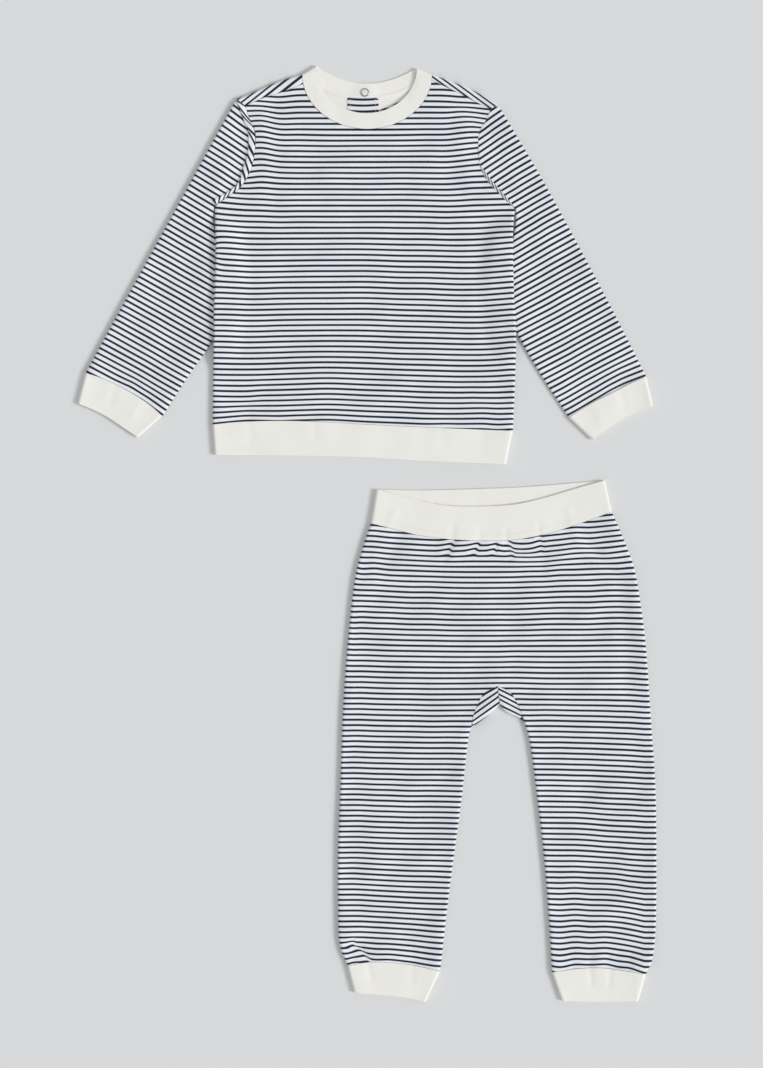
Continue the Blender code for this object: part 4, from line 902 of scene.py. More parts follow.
def top_front():
    """Front panel: hem seam, sides, armholes, shoulder seams and neck seam."""
    left_shoulder = moved(run(SHOULDER_SEAM_LEFT, SHOULDER_STEPS, ROUND), SEAM_GAP)
    right_shoulder = moved(run(SHOULDER_SEAM_RIGHT, SHOULDER_STEPS, (), ROUND), SEAM_GAP)
    neck = front_neck()[1]
    neck[0], neck[-1] = left_shoulder[-1], right_shoulder[0]
    top = chain(left_shoulder, neck, right_shoulder)
    hem = run(HEM_SEAM, 2 * SHOULDER_STEPS + NECK_STEPS, ROUND, ROUND)
    armhole_left, armhole_right = armhole(True)[0], armhole(False)[0]
    left = chain(run(SIDE_LEFT[::-1], SIDE_STEPS), armhole_left)
    right = chain(run(SIDE_RIGHT, SIDE_STEPS), armhole_right)
    left[-1], right[-1] = top[0], top[-1]
    grid = fill(hem, top, left, right)
    outer, inner = BODY_LAY.sheet(grid, 1, JERSEY, SEAM_GAP,
                                  (hem, top, armhole_left, armhole_right))
    return cloth_mesh("front_panel", [(outer, inner, striped(grid, body_count(grid)))], TOP_AT)


def top_back_count(grid):
    """Stripe count on the back, which runs on over the shoulder folds."""
    number = BODY_LEVEL - grid[..., 1] / BODY_PITCH
    sides = np.exp(-(np.minimum(nearest(grid, SIDE_LEFT)[0], nearest(grid, SIDE_RIGHT)[0])
                     / EDGE_REACH) ** 2)
    number = number + sides * (body_count(grid) - number)
    for fold, stripes in ((SHOULDER_FOLD_LEFT, SHOULDER_STRIPES_LEFT),
                          (SHOULDER_FOLD_RIGHT, SHOULDER_STRIPES_RIGHT)):
        near = np.exp(-(nearest(grid, fold)[0] / EDGE_REACH) ** 2)
        number = number + near * (across_count(grid, stripes) - number)
    return number


def top_back():
    """Back panel, whose shoulders fold forward to the shoulder seams."""
    upright, hem_points = [], smooth(HEM_SEAM)
    for across, down in (NECK_SEAM_POINT_LEFT, NECK_SEAM_POINT_RIGHT):
        hem_point = (across, np.interp(across, *hem_points.T))
        underarm = (across, SIDE_LEFT[0][1])
        upright.append(chain(run([hem_point, underarm], SIDE_STEPS),
                             run([underarm, (across, down)], ARMHOLE_STEPS + WRAP_STEPS, (),
                                 ROUND)))
    hem_left = run(between(hem_points, hem_points[0], upright[0][0]), SHOULDER_STEPS, ROUND)
    hem_middle = run(between(hem_points, upright[0][0], upright[1][0]), len(back_neck()) - 1)
    hem_right = run(between(hem_points, upright[1][0], hem_points[-1]), SHOULDER_STEPS, (), ROUND)
    armhole_left, armhole_right = chain(*armhole(True)), chain(*armhole(False))
    left = chain(run(SIDE_LEFT[::-1], SIDE_STEPS), armhole_left)
    right = chain(run(SIDE_RIGHT, SIDE_STEPS), armhole_right)
    fold_left = run(SHOULDER_FOLD_LEFT[::-1], SHOULDER_STEPS, ROUND)
    fold_right = run(SHOULDER_FOLD_RIGHT[::-1], SHOULDER_STEPS, (), ROUND)
    lower = [fill(hem_left, fold_left, left, upright[0]),
             fill(hem_middle, back_neck(), *upright),
             fill(hem_right, fold_right, upright[1], right)]
    seam_left = run(SHOULDER_SEAM_LEFT, SHOULDER_STEPS, ROUND)
    seam_right = run(SHOULDER_SEAM_RIGHT, SHOULDER_STEPS, (), ROUND)
    ends_left, ends_right = ([run([seam[end], fold[end]], WRAP_STEPS, (), ROUND)
                              for end in (0, -1)]
                             for seam, fold in ((seam_left, fold_left), (seam_right, fold_right)))
    upper = [fill(seam_left, fold_left, *ends_left), fill(seam_right, fold_right, *ends_right)]
    seams = (hem_left, hem_right, armhole_left, armhole_right, seam_left, seam_right,
             back_neck(), ends_left[1], ends_right[0])
    sheets = [(*BODY_LAY.sheet(grid, -1, JERSEY, seams=seams),
               striped(grid, top_back_count(grid))) for grid in lower]
    sheets += [(*BODY_LAY.sheet(grid, 1, JERSEY, seams=seams),
                striped(grid, across_count(grid, stripes)))
               for grid, stripes in zip(upper, (SHOULDER_STRIPES_LEFT, SHOULDER_STRIPES_RIGHT))]
    return cloth_mesh("back_panel", sheets, TOP_AT)


def sleeve(name, left, outer, inner, cuff_seam, creases, seed):
    """A sleeve from its cuff seam up to the blunt tip where its armhole meets its outer fold.

    Its outer and inner edges are folds.  Rows run across the arm: from the inner edge below the
    underarm, and from the armhole above it, to the outer edge.
    """
    edge, tip = armhole(left)
    tip = run(tip[[0, -1]], WRAP_STEPS, (), (TIP_WIDTH,))[:-1]
    mouth = moved(chain(edge, tip), -SEAM_GAP if left else SEAM_GAP)
    inner = [*inner[:-1], mouth[0]]
    outer_curve = smooth(outer)
    level = outer_curve[np.linalg.norm(outer_curve - mouth[0], axis=1).argmin()]
    inner_run = chain(run(inner, SLEEVE_STEPS), mouth)
    outer_run = chain(run(between(outer_curve, outer_curve[0], level), SLEEVE_STEPS),
                      run(between(outer_curve, level, outer_curve[-1]), len(mouth) - 1, (),
                          (TIP_WIDTH,))[:-1])
    cuff_seam = run(cuff_seam, SLEEVE_STEPS_ACROSS, ROUND, ROUND)
    ends = (outer_run[-1], inner_run[-1]) if left else (inner_run[-1], outer_run[-1])
    blunt = np.linspace(*ends, len(cuff_seam))
    sides = (outer_run, inner_run) if left else (inner_run, outer_run)
    grid = fill(cuff_seam, blunt, *sides)
    folds = [(outer_run[::-1], JERSEY_EDGE), (inner, TUCKED_EDGE)]
    if not left:
        folds = [(outer_run, JERSEY_EDGE), (inner[::-1], TUCKED_EDGE)]
    turn = math.radians(SLEEVE_TURN if left else -SLEEVE_TURN)
    lay = Lay(JERSEY_FLAT, folds, creases=creases, seed=seed)
    return tube(name, grid, grid, lay, JERSEY, TOP_AT,
                lambda points: striped(points, sleeve_count(points, left), turn),
                (cuff_seam, blunt)), lay


def armhole_fold(name, left, lay):
    """Cloth folded over along an armhole, lying on the sleeve."""
    steps = 2 * ARMHOLE_STEPS
    seam = run(ARMHOLE_LEFT if left else ARMHOLE_RIGHT, steps, (FOLD_ENDS,), (FOLD_ENDS,))[1:-1]
    if left:
        seam = moved(seam, -SEAM_GAP)
        free = run(FOLD_EDGE_LEFT, len(seam) - 1)
    else:
        seam = moved(seam, SEAM_GAP)[:len(seam) // 2]
        share = np.clip(np.linspace(0, 1, len(seam)), FOLD_TAPERED_END, 1 - FOLD_TAPERED_END)
        out = np.stack([-np.gradient(seam[:, 1]), np.gradient(seam[:, 0])], axis=1)
        out /= np.linalg.norm(out, axis=1)[:, None]
        width = FOLD_WIDTH_RIGHT * np.sin(math.pi * share) ** 0.5
        free = seam + out * width[:, None] * np.sign(out[:, :1].mean())
    shares = FOLD_SHARES[:, None]
    grid = seam[None] * (1 - shares[..., None]) + free[None] * shares[..., None]
    width = np.linalg.norm(free - seam, axis=1)[None]
    rise = np.clip(width * shares / FOLD_TAPER, 0, 1)
    rise = rise * rise * (3 - 2 * rise)
    end = np.clip(width * (1 - shares) / FOLD_ROUND, 0, 1)
    rise = rise * np.sqrt(1 - (1 - end) ** 2) * np.minimum(1, width / FOLD_TAPER)
    under = lay.top(grid) + FOLD_CLEAR
    top = under + FOLD_CLEAR + FOLD_RISE * rise
    if left:
        marks = [[np.linalg.norm(path - np.array(lines[end]), axis=1).argmin()
                  for lines in FOLD_LINES_LEFT[::-1]] for path, end in ((seam, 1), (free, 0))]
    else:
        length = np.linalg.norm(np.diff(seam, axis=0), axis=1).sum() / (len(seam) - 1)
        places = np.array(FOLD_STRIPES_RIGHT) * FOLD_PITCH_RIGHT / length
        marks = [places - FOLD_SLANT_RIGHT / 2 / length, places + FOLD_SLANT_RIGHT / 2 / length]
    marks = np.array(marks, float)
    marks = np.maximum.accumulate(marks + FOLD_APART * np.arange(marks.shape[1]), axis=1)
    marks = np.concatenate([marks[:, :1] - FOLD_LEAD, marks, marks[:, -1:] + FOLD_TAIL], axis=1)
    number = np.array([np.interp(np.arange(len(seam)), marks[0] * (1 - k) + marks[1] * k,
                                 np.arange(marks.shape[1])) for k in FOLD_SHARES])
    outer = np.concatenate([grid, top[..., None]], axis=-1)
    inner = np.concatenate([grid, under[..., None]], axis=-1)
    return cloth_mesh(name, [(outer, inner, striped(grid, number))], TOP_AT)


def band_lay(upper, flat, rows, lifts, creases, seed):
    """How a rib band lies, with a folded edge at each end."""
    sides = [run([upper[0][end], upper[1][end]], rows) for end in (0, -1)]
    return sides, Lay(flat, [(sides[0][::-1], RIB_EDGE), (sides[1], RIB_EDGE)], lifts=lifts,
                      creases=creases, seed=seed, waving=BAND_WAVING)


def band(name, upper, lower, flat, rows, at, lifts=(), creases=(), seed=0):
    """A rib band from its two layers' runs; each layer is a pair of left-to-right runs."""
    sides, lay = band_lay(upper, flat, rows, lifts, creases, seed)
    return tube(name, fill(*upper, *sides), fill(*lower, *sides), lay, RIB, at, ribbed,
                upper + lower)


def plain_band(name, edge, seam, steps, at, creases=(), seed=0):
    """A rib band below a seam, with both layers the same."""
    layer = (run(edge, steps, ROUND, ROUND), moved(run(seam, steps, ROUND, ROUND), SEAM_GAP))
    return band(name, layer, layer, RIB_FLAT, CUFF_STEPS, at, creases=creases, seed=seed)


def neckband():
    """The neckband: its front half hangs in front of its back half."""
    steps = NECK_STEPS + 2 * WRAP_STEPS
    front_seam = moved(run(chain(*front_neck()), steps, ROUND, ROUND), -SEAM_GAP)
    back_seam = moved(run(BACK_NECK_SEAM, steps, ROUND, ROUND), -SEAM_GAP)
    for end, seam_point, edge_point in ((0, NECK_SEAM_POINT_LEFT, NECK_POINT_LEFT),
                                        (-1, NECK_SEAM_POINT_RIGHT, NECK_POINT_RIGHT)):
        front_seam[end] = back_seam[end] = run([seam_point, edge_point], 1, (SEAM_GAP,))[1]
    front = (front_seam, run(FRONT_NECK_EDGE, steps, ROUND, ROUND))
    back = (back_seam, run(BACK_NECK_EDGE, steps, ROUND, ROUND))
    seat = [SNAP_AT, (SNAP_AT[0] + 1.0, SNAP_AT[1])]
    return band("neck_band", front, back, NECK_HEIGHT, CUFF_STEPS, TOP_AT,
                [(seat, SNAP_LIFT, SNAP_SEAT_LEVEL, SNAP_SEAT_RAMP)], NECK_CREASES, seed=41)


def facing():
    """Striped strip sewn inside the back neck opening; it lies on the back panel."""
    across = np.linspace(FACING_LEFT, FACING_RIGHT, FACING_STEPS + 1)
    seam = np.interp(across, *np.transpose(BACK_NECK_SEAM)) + SEAM_GAP
    share = np.linspace(0, 1, FACING_STEPS + 1)[:, None, None]
    ends = np.stack([np.stack([across, seam], -1), np.stack([across, 0 * across + FACING_END], -1)])
    grid = ends[:1] * (1 - share) + ends[1:] * share
    edge = np.minimum(grid[..., 0] - FACING_LEFT, FACING_RIGHT - grid[..., 0])
    height = FACING_UNDER + FACING_WALL - FACING_SOFT * np.exp(-(edge / FACING_SOFT_REACH) ** 2)
    outer = np.concatenate([grid, height[..., None]], axis=-1)
    inner = np.concatenate([grid, np.full((*grid.shape[:2], 1), FACING_UNDER)], axis=-1)
    middle, half = (FACING_LEFT + FACING_RIGHT) / 2, (FACING_RIGHT - FACING_LEFT) / 2
    droop = FACING_BOW * (1 - ((grid[..., 0] - middle) / half) ** 2)
    number = (FACING_STRIPE - grid[..., 1] - droop) / FACING_PITCH
    return cloth_mesh("facing_strip", [(outer, inner, striped(grid, number))], TOP_AT)


def neck_lining():
    """Plain cloth that lines the back neck, from the neckband's seam to behind the front edge."""
    across = np.linspace(NECK_SEAM_POINT_LEFT[0] + LINING_IN, NECK_SEAM_POINT_RIGHT[0] - LINING_IN,
                         NECK_STEPS + 1)
    seam = np.interp(across, *np.transpose(BACK_NECK_SEAM)) - LINING_LAP
    free = np.interp(across, *np.transpose(FRONT_NECK_SEAM)) - LINING_UP
    free = np.minimum(free, np.interp(across, *np.transpose(LINING_EDGE)))
    free = np.maximum(free, seam + LINING_LEAST)
    share = np.linspace(0, 1, 2 * FACING_STEPS + 1)[:, None] ** 2
    grid = np.stack([np.broadcast_to(across, (len(share), len(across))),
                     seam * (1 - share) + free * share], axis=-1)
    drop = np.clip((grid[..., 1:] - seam[:, None] - 2 * LINING_LAP) / LINING_DROP, 0, 1)
    under = LINING_UNDER + LINING_CLIMB * (1 - drop * drop * (3 - 2 * drop))
    outer = np.concatenate([grid, under + LINING_WALL], axis=-1)
    inner = np.concatenate([grid, under], axis=-1)
    return cloth_mesh("neck_lining", [(outer, inner, ribbed(grid))], TOP_AT)


# ---------------------------------------------------------------- the trousers


TROUSERS_LAY = Lay(
    JERSEY_FLAT,
    folds=[(path, JERSEY_EDGE) for path in (OUTER_LEG_LEFT, INNER_LEG_LEFT, CROTCH_EDGE_LEFT,
                                            CROTCH_EDGE_RIGHT, INNER_LEG_RIGHT, OUTER_LEG_RIGHT)],
    creases=TROUSERS_CREASES, seed=23)


def outer_leg(left):
    """Outer leg from the ankle to the waist, with its rows level with the crotch."""
    path = smooth(OUTER_LEG_LEFT[::-1] if left else OUTER_LEG_RIGHT)
    knee, hip = CROTCH_EDGE_LEFT[0][1], CROTCH_SEAM_LEFT[-1][1]
    joints = [(np.interp(-level, -path[:, 1], path[:, 0]), level) for level in (knee, hip)]
    return chain(run(between(path, path[0], joints[0]), LEG_STEPS),
                 run(between(path, *joints), CROTCH_STEPS + 1),
                 run(between(path, joints[1], path[-1]), HIP_STEPS))


def half_waist(seam, left, centre):
    """Left or right half of a waist seam, up to the centre line."""
    seam = smooth(seam)
    middle = (centre, np.interp(centre, *seam.T))
    if left:
        return run(between(seam, seam[0], middle), LEG_STEPS_ACROSS, ROUND, ROUND)
    return run(between(seam, middle, seam[-1]), LEG_STEPS_ACROSS, ROUND, ROUND)


def kinks(points):
    """How far stripes climb beside short creases."""
    climb = np.zeros(points.shape[:-1])
    for path, height, before, past in KINKS:
        across, down = np.transpose(path)
        off = points[..., 0] - np.interp(points[..., 1], down, across)
        reach = np.where(off < 0, before, past)
        beyond = np.maximum(0, np.maximum(down[0] - points[..., 1], points[..., 1] - down[-1]))
        climb += height * np.exp(-(off / reach) ** 2 - (beyond / KINK_END) ** 2)
    return climb


def half_count(grid, left):
    """Stripe count on one half of the trousers."""
    table = (LEFT_LEG_COLUMNS, LEFT_LEG_STRIPES) if left else (RIGHT_LEG_COLUMNS,
                                                               RIGHT_LEG_STRIPES)
    return count(table, grid[..., 0], grid[..., 1]) - kinks(grid) / TROUSERS_PITCH


def trousers_front():
    """Front panel of both legs, in one piece."""
    sheets, seams = [], []
    grids = []
    for left in (True, False):
        waist = half_waist(WAIST_SEAM_FRONT, left, 0.0)
        if left:
            leg, seam, ankle = INNER_LEG_LEFT, CROTCH_SEAM_LEFT, ANKLE_SEAM_LEFT
            middle, gap = waist[-1], -SEAM_GAP
        else:
            leg, seam, ankle = INNER_LEG_RIGHT[::-1], CROTCH_SEAM_RIGHT[::-1], ANKLE_SEAM_RIGHT
            middle, gap = waist[0], SEAM_GAP
        apex = (0.0, seam[-1][1] - SEAM_GAP)
        leg = run(leg, LEG_STEPS, (), (SEAM_GAP,))[:-1]
        seam = moved(run([*seam[:-1], (0.0, seam[-1][1])], CROTCH_STEPS, (CROTCH_WIDTH,)), gap)
        seam[0], seam[-1] = leg[-1], apex
        inside = chain(leg, seam, run([apex, middle], HIP_STEPS))
        sides = (outer_leg(left), inside) if left else (inside, outer_leg(left))
        ankle = run(ankle, LEG_STEPS_ACROSS, ROUND, ROUND)
        grids.append(fill(ankle, waist, *sides))
        seams += [ankle, waist, seam]
    for grid, left in zip(grids, (True, False)):
        outer, inner = TROUSERS_LAY.sheet(grid, 1, JERSEY, SEAM_GAP, seams)
        sheets.append((outer, inner, striped(grid, half_count(grid, left))))
    return cloth_mesh("front_of_trousers", sheets, TROUSERS_AT)


def trousers_back(left):
    """Left or right back panel, which wraps forward under the crotch."""
    if left:
        centre, ankle = -SEAM_GAP / 2, ANKLE_SEAM_LEFT
        leg, edge, seam = INNER_LEG_LEFT, CROTCH_EDGE_LEFT, CROTCH_SEAM_LEFT
        lines = CROTCH_LINES_LEFT
    else:
        centre, ankle = SEAM_GAP / 2, ANKLE_SEAM_RIGHT
        leg, edge, seam = (path[::-1] for path in (INNER_LEG_RIGHT, CROTCH_EDGE_RIGHT,
                                                   CROTCH_SEAM_RIGHT))
        lines = CROTCH_LINES_RIGHT
    waist = half_waist(WAIST_SEAM_BACK, left, centre)
    edge_run = run(edge, CROTCH_STEPS, (CROTCH_WIDTH,))
    seam_run = run(seam, CROTCH_STEPS, (CROTCH_WIDTH,))
    inside = chain(run(leg, LEG_STEPS), edge_run,
                   run([edge[-1], waist[-1 if left else 0]], HIP_STEPS))
    sides = (outer_leg(left), inside) if left else (inside, outer_leg(left))
    ankle = run(ankle, LEG_STEPS_ACROSS, ROUND, ROUND)
    main = fill(ankle, waist, *sides)
    wrap_ends = [run([edge_run[k], seam_run[k]], WRAP_STEPS, ROUND) for k in (1, -1)]
    wrap = fill(edge_run[1:], seam_run[1:], *wrap_ends)
    seams = (ankle, waist, seam_run[1:], wrap_ends[1])
    number = half_count(main, left)
    near = np.exp(-(nearest(main, edge_run)[0] / EDGE_REACH) ** 2)
    number = number + near * (fan_count(main, lines, CROTCH_FIRST, -1) - number)
    sheets = [(*TROUSERS_LAY.sheet(main, -1, JERSEY, seams=seams), striped(main, number)),
              (*TROUSERS_LAY.sheet(wrap, 1, JERSEY, seams=seams),
               striped(wrap, fan_count(wrap, lines, CROTCH_FIRST, -1)))]
    return cloth_mesh("back_of_left_leg" if left else "back_of_right_leg", sheets, TROUSERS_AT)


def waist_layers():
    """The waistband's front and back runs: its back stands higher than its front."""
    layers = []
    for seam, edge in ((WAIST_SEAM_FRONT, WAIST_TOP_FRONT), (WAIST_SEAM_BACK, WAIST_TOP_BACK)):
        seam = chain(half_waist(seam, True, 0.0), half_waist(seam, False, 0.0))
        free = run(edge, len(seam) - 1 - 2 * len(ROUND), ROUND, ROUND)
        layers.append((moved(seam, -SEAM_GAP), free))
    layers[1][0][0], layers[1][0][-1] = layers[0][0][0], layers[0][0][-1]
    return layers


def waistband():
    """The waistband."""
    return band("waist_band", *waist_layers(), RIB_FLAT, CUFF_STEPS, TROUSERS_AT,
                creases=WAIST_CREASES, seed=WAIST_SEED)


def waist_top(points):
    """Height of the waistband's front face."""
    lay = band_lay(waist_layers()[0], RIB_FLAT, CUFF_STEPS, (), WAIST_CREASES, WAIST_SEED)[1]
    return lay.top(points)


# ---------------------------------------------------------------- trims


SNAP_SEGMENTS = 64
SNAP_BASE = 2.6
RING_PROFILE = [(3.15, 0.0), (3.9, 0.0), (4.08, 0.12), (4.15, 0.4), (4.1, 0.8), (3.9, 1.1),
                (3.6, 1.22), (3.35, 1.15), (3.2, 0.95), (3.12, 0.6)]
PEARL_PROFILE = [(0.0, 0.0), (3.0, 0.0), (3.05, 0.3), (2.95, 0.6), (2.6, 0.8), (2.0, 0.88),
                 (1.55, 0.84), (1.3, 0.72), (1.1, 0.72), (0.85, 0.86), (0.45, 0.94), (0.0, 0.96)]
CAP_PROFILE = [(0.0, 0.0), (3.0, 0.02), (3.5, 0.08), (3.78, 0.22), (3.7, 0.42), (3.4, 0.5),
               (0.0, 0.5)]


def turned(name, profile, base, ring=False):
    """A round trim turned from (radius, height) points; a ring's profile closes on itself."""
    shell = bmesh.new()
    verts = [shell.verts.new((radius * MM, 0, (base + height) * MM)) for radius, height in profile]
    ends = verts[1:] + verts[:1] if ring else verts[1:]
    edges = [shell.edges.new(pair) for pair in zip(verts, ends)]
    bmesh.ops.spin(shell, geom=verts + edges, cent=(0, 0, 0), axis=(0, 0, 1),
                   angle=2 * math.pi, steps=SNAP_SEGMENTS)
    bmesh.ops.remove_doubles(shell, verts=shell.verts, dist=0.001 * MM)
    bmesh.ops.recalc_face_normals(shell, faces=shell.faces)
    centre = Vector(((TOP_AT[0] + SNAP_AT[0]) * MM, (TOP_AT[1] - SNAP_AT[1]) * MM, 0))
    bmesh.ops.translate(shell, vec=centre, verts=shell.verts)
    mesh = bpy.data.meshes.new(name)
    shell.to_mesh(mesh)
    shell.free()
    return mesh


STITCH = 2.3            # length of a stitch that shows
STITCH_PITCH = 2.9
THREAD = 0.22           # radius of the thread
STITCH_SIDES = 6
STITCH_SHAPE = ((-0.5, 0.25, -0.55), (-0.38, 0.9, 0.0), (0.0, 1.0, 0.35), (0.38, 0.9, 0.0),
                (0.5, 0.25, -0.55))


def stitches(name, path, level, at):
    """A row of stitches along a path, each a short bowed thread lying in the cloth."""
    curve = smooth(path)
    along = np.concatenate([[0], np.cumsum(np.linalg.norm(np.diff(curve, axis=0), axis=1))])
    places, faces = [], []
    for place in np.arange(STITCH_PITCH / 2, along[-1] - STITCH_PITCH / 2, STITCH_PITCH):
        stops = [place + part * STITCH for part, _, _ in STITCH_SHAPE]
        points = np.array([[np.interp(s, along, curve[:, k]) for k in (0, 1)] for s in stops])
        heights = level(points)
        ahead = points[-1] - points[0]
        ahead /= np.linalg.norm(ahead)
        start = len(places)
        for (across, down), height, (_, thick, rise) in zip(points, heights, STITCH_SHAPE):
            for side in range(STITCH_SIDES):
                angle = 2 * math.pi * side / STITCH_SIDES
                out = math.cos(angle) * THREAD * thick
                places.append((across - ahead[1] * out, down + ahead[0] * out,
                               height + THREAD * rise + math.sin(angle) * THREAD * thick))
        for ring in range(len(STITCH_SHAPE) - 1):
            for side in range(STITCH_SIDES):
                a, b = side, (side + 1) % STITCH_SIDES
                low, high = start + ring * STITCH_SIDES, start + (ring + 1) * STITCH_SIDES
                faces.append((low + a, low + b, high + b, high + a))
        last = start + (len(STITCH_SHAPE) - 1) * STITCH_SIDES
        faces.append(tuple(range(start, start + STITCH_SIDES))[::-1])
        faces.append(tuple(range(last, last + STITCH_SIDES)))
    mesh = bpy.data.meshes.new(name)
    mesh.from_pydata([((at[0] + x) * MM, (at[1] - y) * MM, z * MM) for x, y, z in places], [],
                     faces)
    shell = bmesh.new()
    shell.from_mesh(mesh)
    bmesh.ops.recalc_face_normals(shell, faces=shell.faces)
    shell.to_mesh(mesh)
    shell.free()
    return mesh


# ---------------------------------------------------------------- materials


class Finish:
    """A Principled material with short ways to add and join nodes."""

    def __init__(self, name, roughness, metallic=0.0, sheen=0.0):
        self.material = bpy.data.materials.new(name)
        self.material.use_nodes = True
        self.tree = self.material.node_tree
        self.shader = self.tree.nodes["Principled BSDF"]
        self.shader.inputs["Roughness"].default_value = roughness
        self.shader.inputs["Metallic"].default_value = metallic
        self.shader.inputs["Sheen Weight"].default_value = sheen

    def link(self, source, target):
        """Join a node's first output, or a socket, to a socket; or set a plain number."""
        if isinstance(source, (int, float)):
            target.default_value = source
            return
        self.tree.links.new(source, target)

    def math(self, operation, *values):
        """A Math node."""
        node = self.tree.nodes.new("ShaderNodeMath")
        node.operation = operation
        for value, socket in zip(values, node.inputs):
            self.link(value, socket)
        return node.outputs[0]

    def knit(self):
        """Stripe count, course and wale distances stored on the mesh."""
        source = self.tree.nodes.new("ShaderNodeAttribute")
        source.attribute_name = "knit"
        parts = self.tree.nodes.new("ShaderNodeSeparateXYZ")
        self.link(source.outputs["Vector"], parts.inputs[0])
        return tuple(parts.outputs)

    def noise(self, scale, detail=2.0):
        """Noise that stays with the object, from 0 to 1."""
        place = self.tree.nodes.new("ShaderNodeTexCoord")
        node = self.tree.nodes.new("ShaderNodeTexNoise")
        node.inputs["Scale"].default_value = scale
        node.inputs["Detail"].default_value = detail
        self.link(place.outputs["Object"], node.inputs["Vector"])
        return node.outputs["Fac"]

    def ramp(self, value, low, high, first=0.0, last=1.0):
        """A smooth step from first to last as a value goes from low to high."""
        node = self.tree.nodes.new("ShaderNodeMapRange")
        node.interpolation_type = "SMOOTHSTEP"
        for name, number in (("From Min", low), ("From Max", high), ("To Min", first),
                             ("To Max", last)):
            node.inputs[name].default_value = number
        self.link(value, node.inputs["Value"])
        return node.outputs["Result"]

    def mix(self, share, first, second):
        """A mix of two colours, each a socket or a plain colour."""
        node = self.tree.nodes.new("ShaderNodeMix")
        node.data_type = "RGBA"
        self.link(share, node.inputs["Factor"])
        for colour, socket in ((first, node.inputs[6]), (second, node.inputs[7])):
            if isinstance(colour, tuple):
                socket.default_value = (*colour, 1.0)
            else:
                self.link(colour, socket)
        return node.outputs[2]

    def bump(self, height, distance, strength, before=None):
        """A bump from a height, on top of another bump if there is one."""
        node = self.tree.nodes.new("ShaderNodeBump")
        node.inputs["Distance"].default_value = distance
        node.inputs["Strength"].default_value = strength
        self.link(height, node.inputs["Height"])
        if before is not None:
            self.link(before, node.inputs["Normal"])
        return node.outputs["Normal"]

    def done(self, colour, normal):
        """Join the last colour and bump to the shader."""
        if isinstance(colour, tuple):
            self.shader.inputs["Base Color"].default_value = (*colour, 1.0)
        else:
            self.link(colour, self.shader.inputs["Base Color"])
        self.link(normal, self.shader.inputs["Normal"])
        return self.material


WHITE = (0.875, 0.890, 0.915)
# darker white: random tone over the cloth, and painted shade in the knit's grooves
WHITE_TONE_AND_GROOVE_SHADE = (0.800, 0.815, 0.850)
NAVY = (0.0060, 0.0085, 0.0300)
NAVY_FADED = (0.0130, 0.0170, 0.0480)
CREAM = (0.895, 0.880, 0.825)
# darker cream: random tone over the cloth, and painted shade in the rib's valleys
CREAM_TONE_AND_GROOVE_SHADE = (0.850, 0.830, 0.765)
LINE_HALF = 0.202       # half a navy line's width, in stripe pitches
LINE_SOFT = 0.040       # how gradual its edges are
LINE_WANDER = 0.045     # how far loops push the line's edges up and down
WALE = 1.10             # one column of loops
COURSE = 0.85           # one row of loops
RIB_PITCH = 1.75        # one rib
LOOP_LEAN = 2.2         # how far loops lean, as an angle
LOOP_COLUMNS = 0.6      # how high columns and rows of loops stand, next to each other
LOOP_ROWS = 0.25
LOOP_MIDDLE = 0.4       # their middle height
RIB_ROWS = 0.2
LOOP_HEIGHT = 0.00016   # heights of bumps, in metres
RIB_HEIGHT = 0.00006
FUZZ_HEIGHT = 0.0006
FUZZ_STRENGTH = 0.25
NICKEL = (0.52, 0.52, 0.53)
NICKEL_WORN = (0.40, 0.40, 0.41)
MILKY = (0.86, 0.85, 0.83)
MILKY_SHADE = (0.80, 0.79, 0.77)
THREAD_CREAM = (0.84, 0.82, 0.77)
THREAD_SHADE = (0.74, 0.72, 0.67)
FLOOR = (0.755, 0.757, 0.758)
FLOOR_SHADE = (0.742, 0.745, 0.748)


def loops(finish, course, wale):
    """Height of the jersey's loops: columns of small leaning arches."""
    column = finish.math("ABSOLUTE", finish.math("SINE", finish.math(
        "MULTIPLY", course, math.pi / WALE)))
    lean = finish.math("MULTIPLY", column, LOOP_LEAN)
    row = finish.math("SINE", finish.math("ADD", lean, finish.math(
        "MULTIPLY", wale, 2 * math.pi / COURSE)))
    return finish.math("ADD", finish.math("MULTIPLY", column, LOOP_COLUMNS),
                       finish.math("MULTIPLY", row, LOOP_ROWS))


def jersey():
    """White single jersey with thin navy stripes."""
    finish = Finish("striped_jersey", 0.92, sheen=0.05)
    number, course, wale = finish.knit()
    height = loops(finish, course, wale)
    wander = finish.math("MULTIPLY", finish.math("SUBTRACT", height, LOOP_MIDDLE),
                         LINE_WANDER)
    place = finish.math("PINGPONG", finish.math("ADD", number, wander), 0.5)
    line = finish.ramp(place, LINE_HALF - LINE_SOFT, LINE_HALF + LINE_SOFT, 1.0, 0.0)
    ground = finish.mix(finish.ramp(finish.noise(38.0, 3.0), 0.3, 0.75), WHITE, WHITE_TONE_AND_GROOVE_SHADE)
    # painted shade: the low grooves between the loops are mixed up to a tenth of the way towards the
    # darker white
    ground = finish.mix(finish.ramp(height, -0.1, 0.55, 0.10, 0.0), ground, WHITE_TONE_AND_GROOVE_SHADE)
    yarn = finish.mix(finish.ramp(finish.noise(420.0, 2.0), 0.35, 0.7), NAVY, NAVY_FADED)
    normal = finish.bump(finish.noise(140.0, 3.0), FUZZ_HEIGHT, FUZZ_STRENGTH)
    normal = finish.bump(height, LOOP_HEIGHT, 0.5, normal)
    return finish.done(finish.mix(line, ground, yarn), normal)


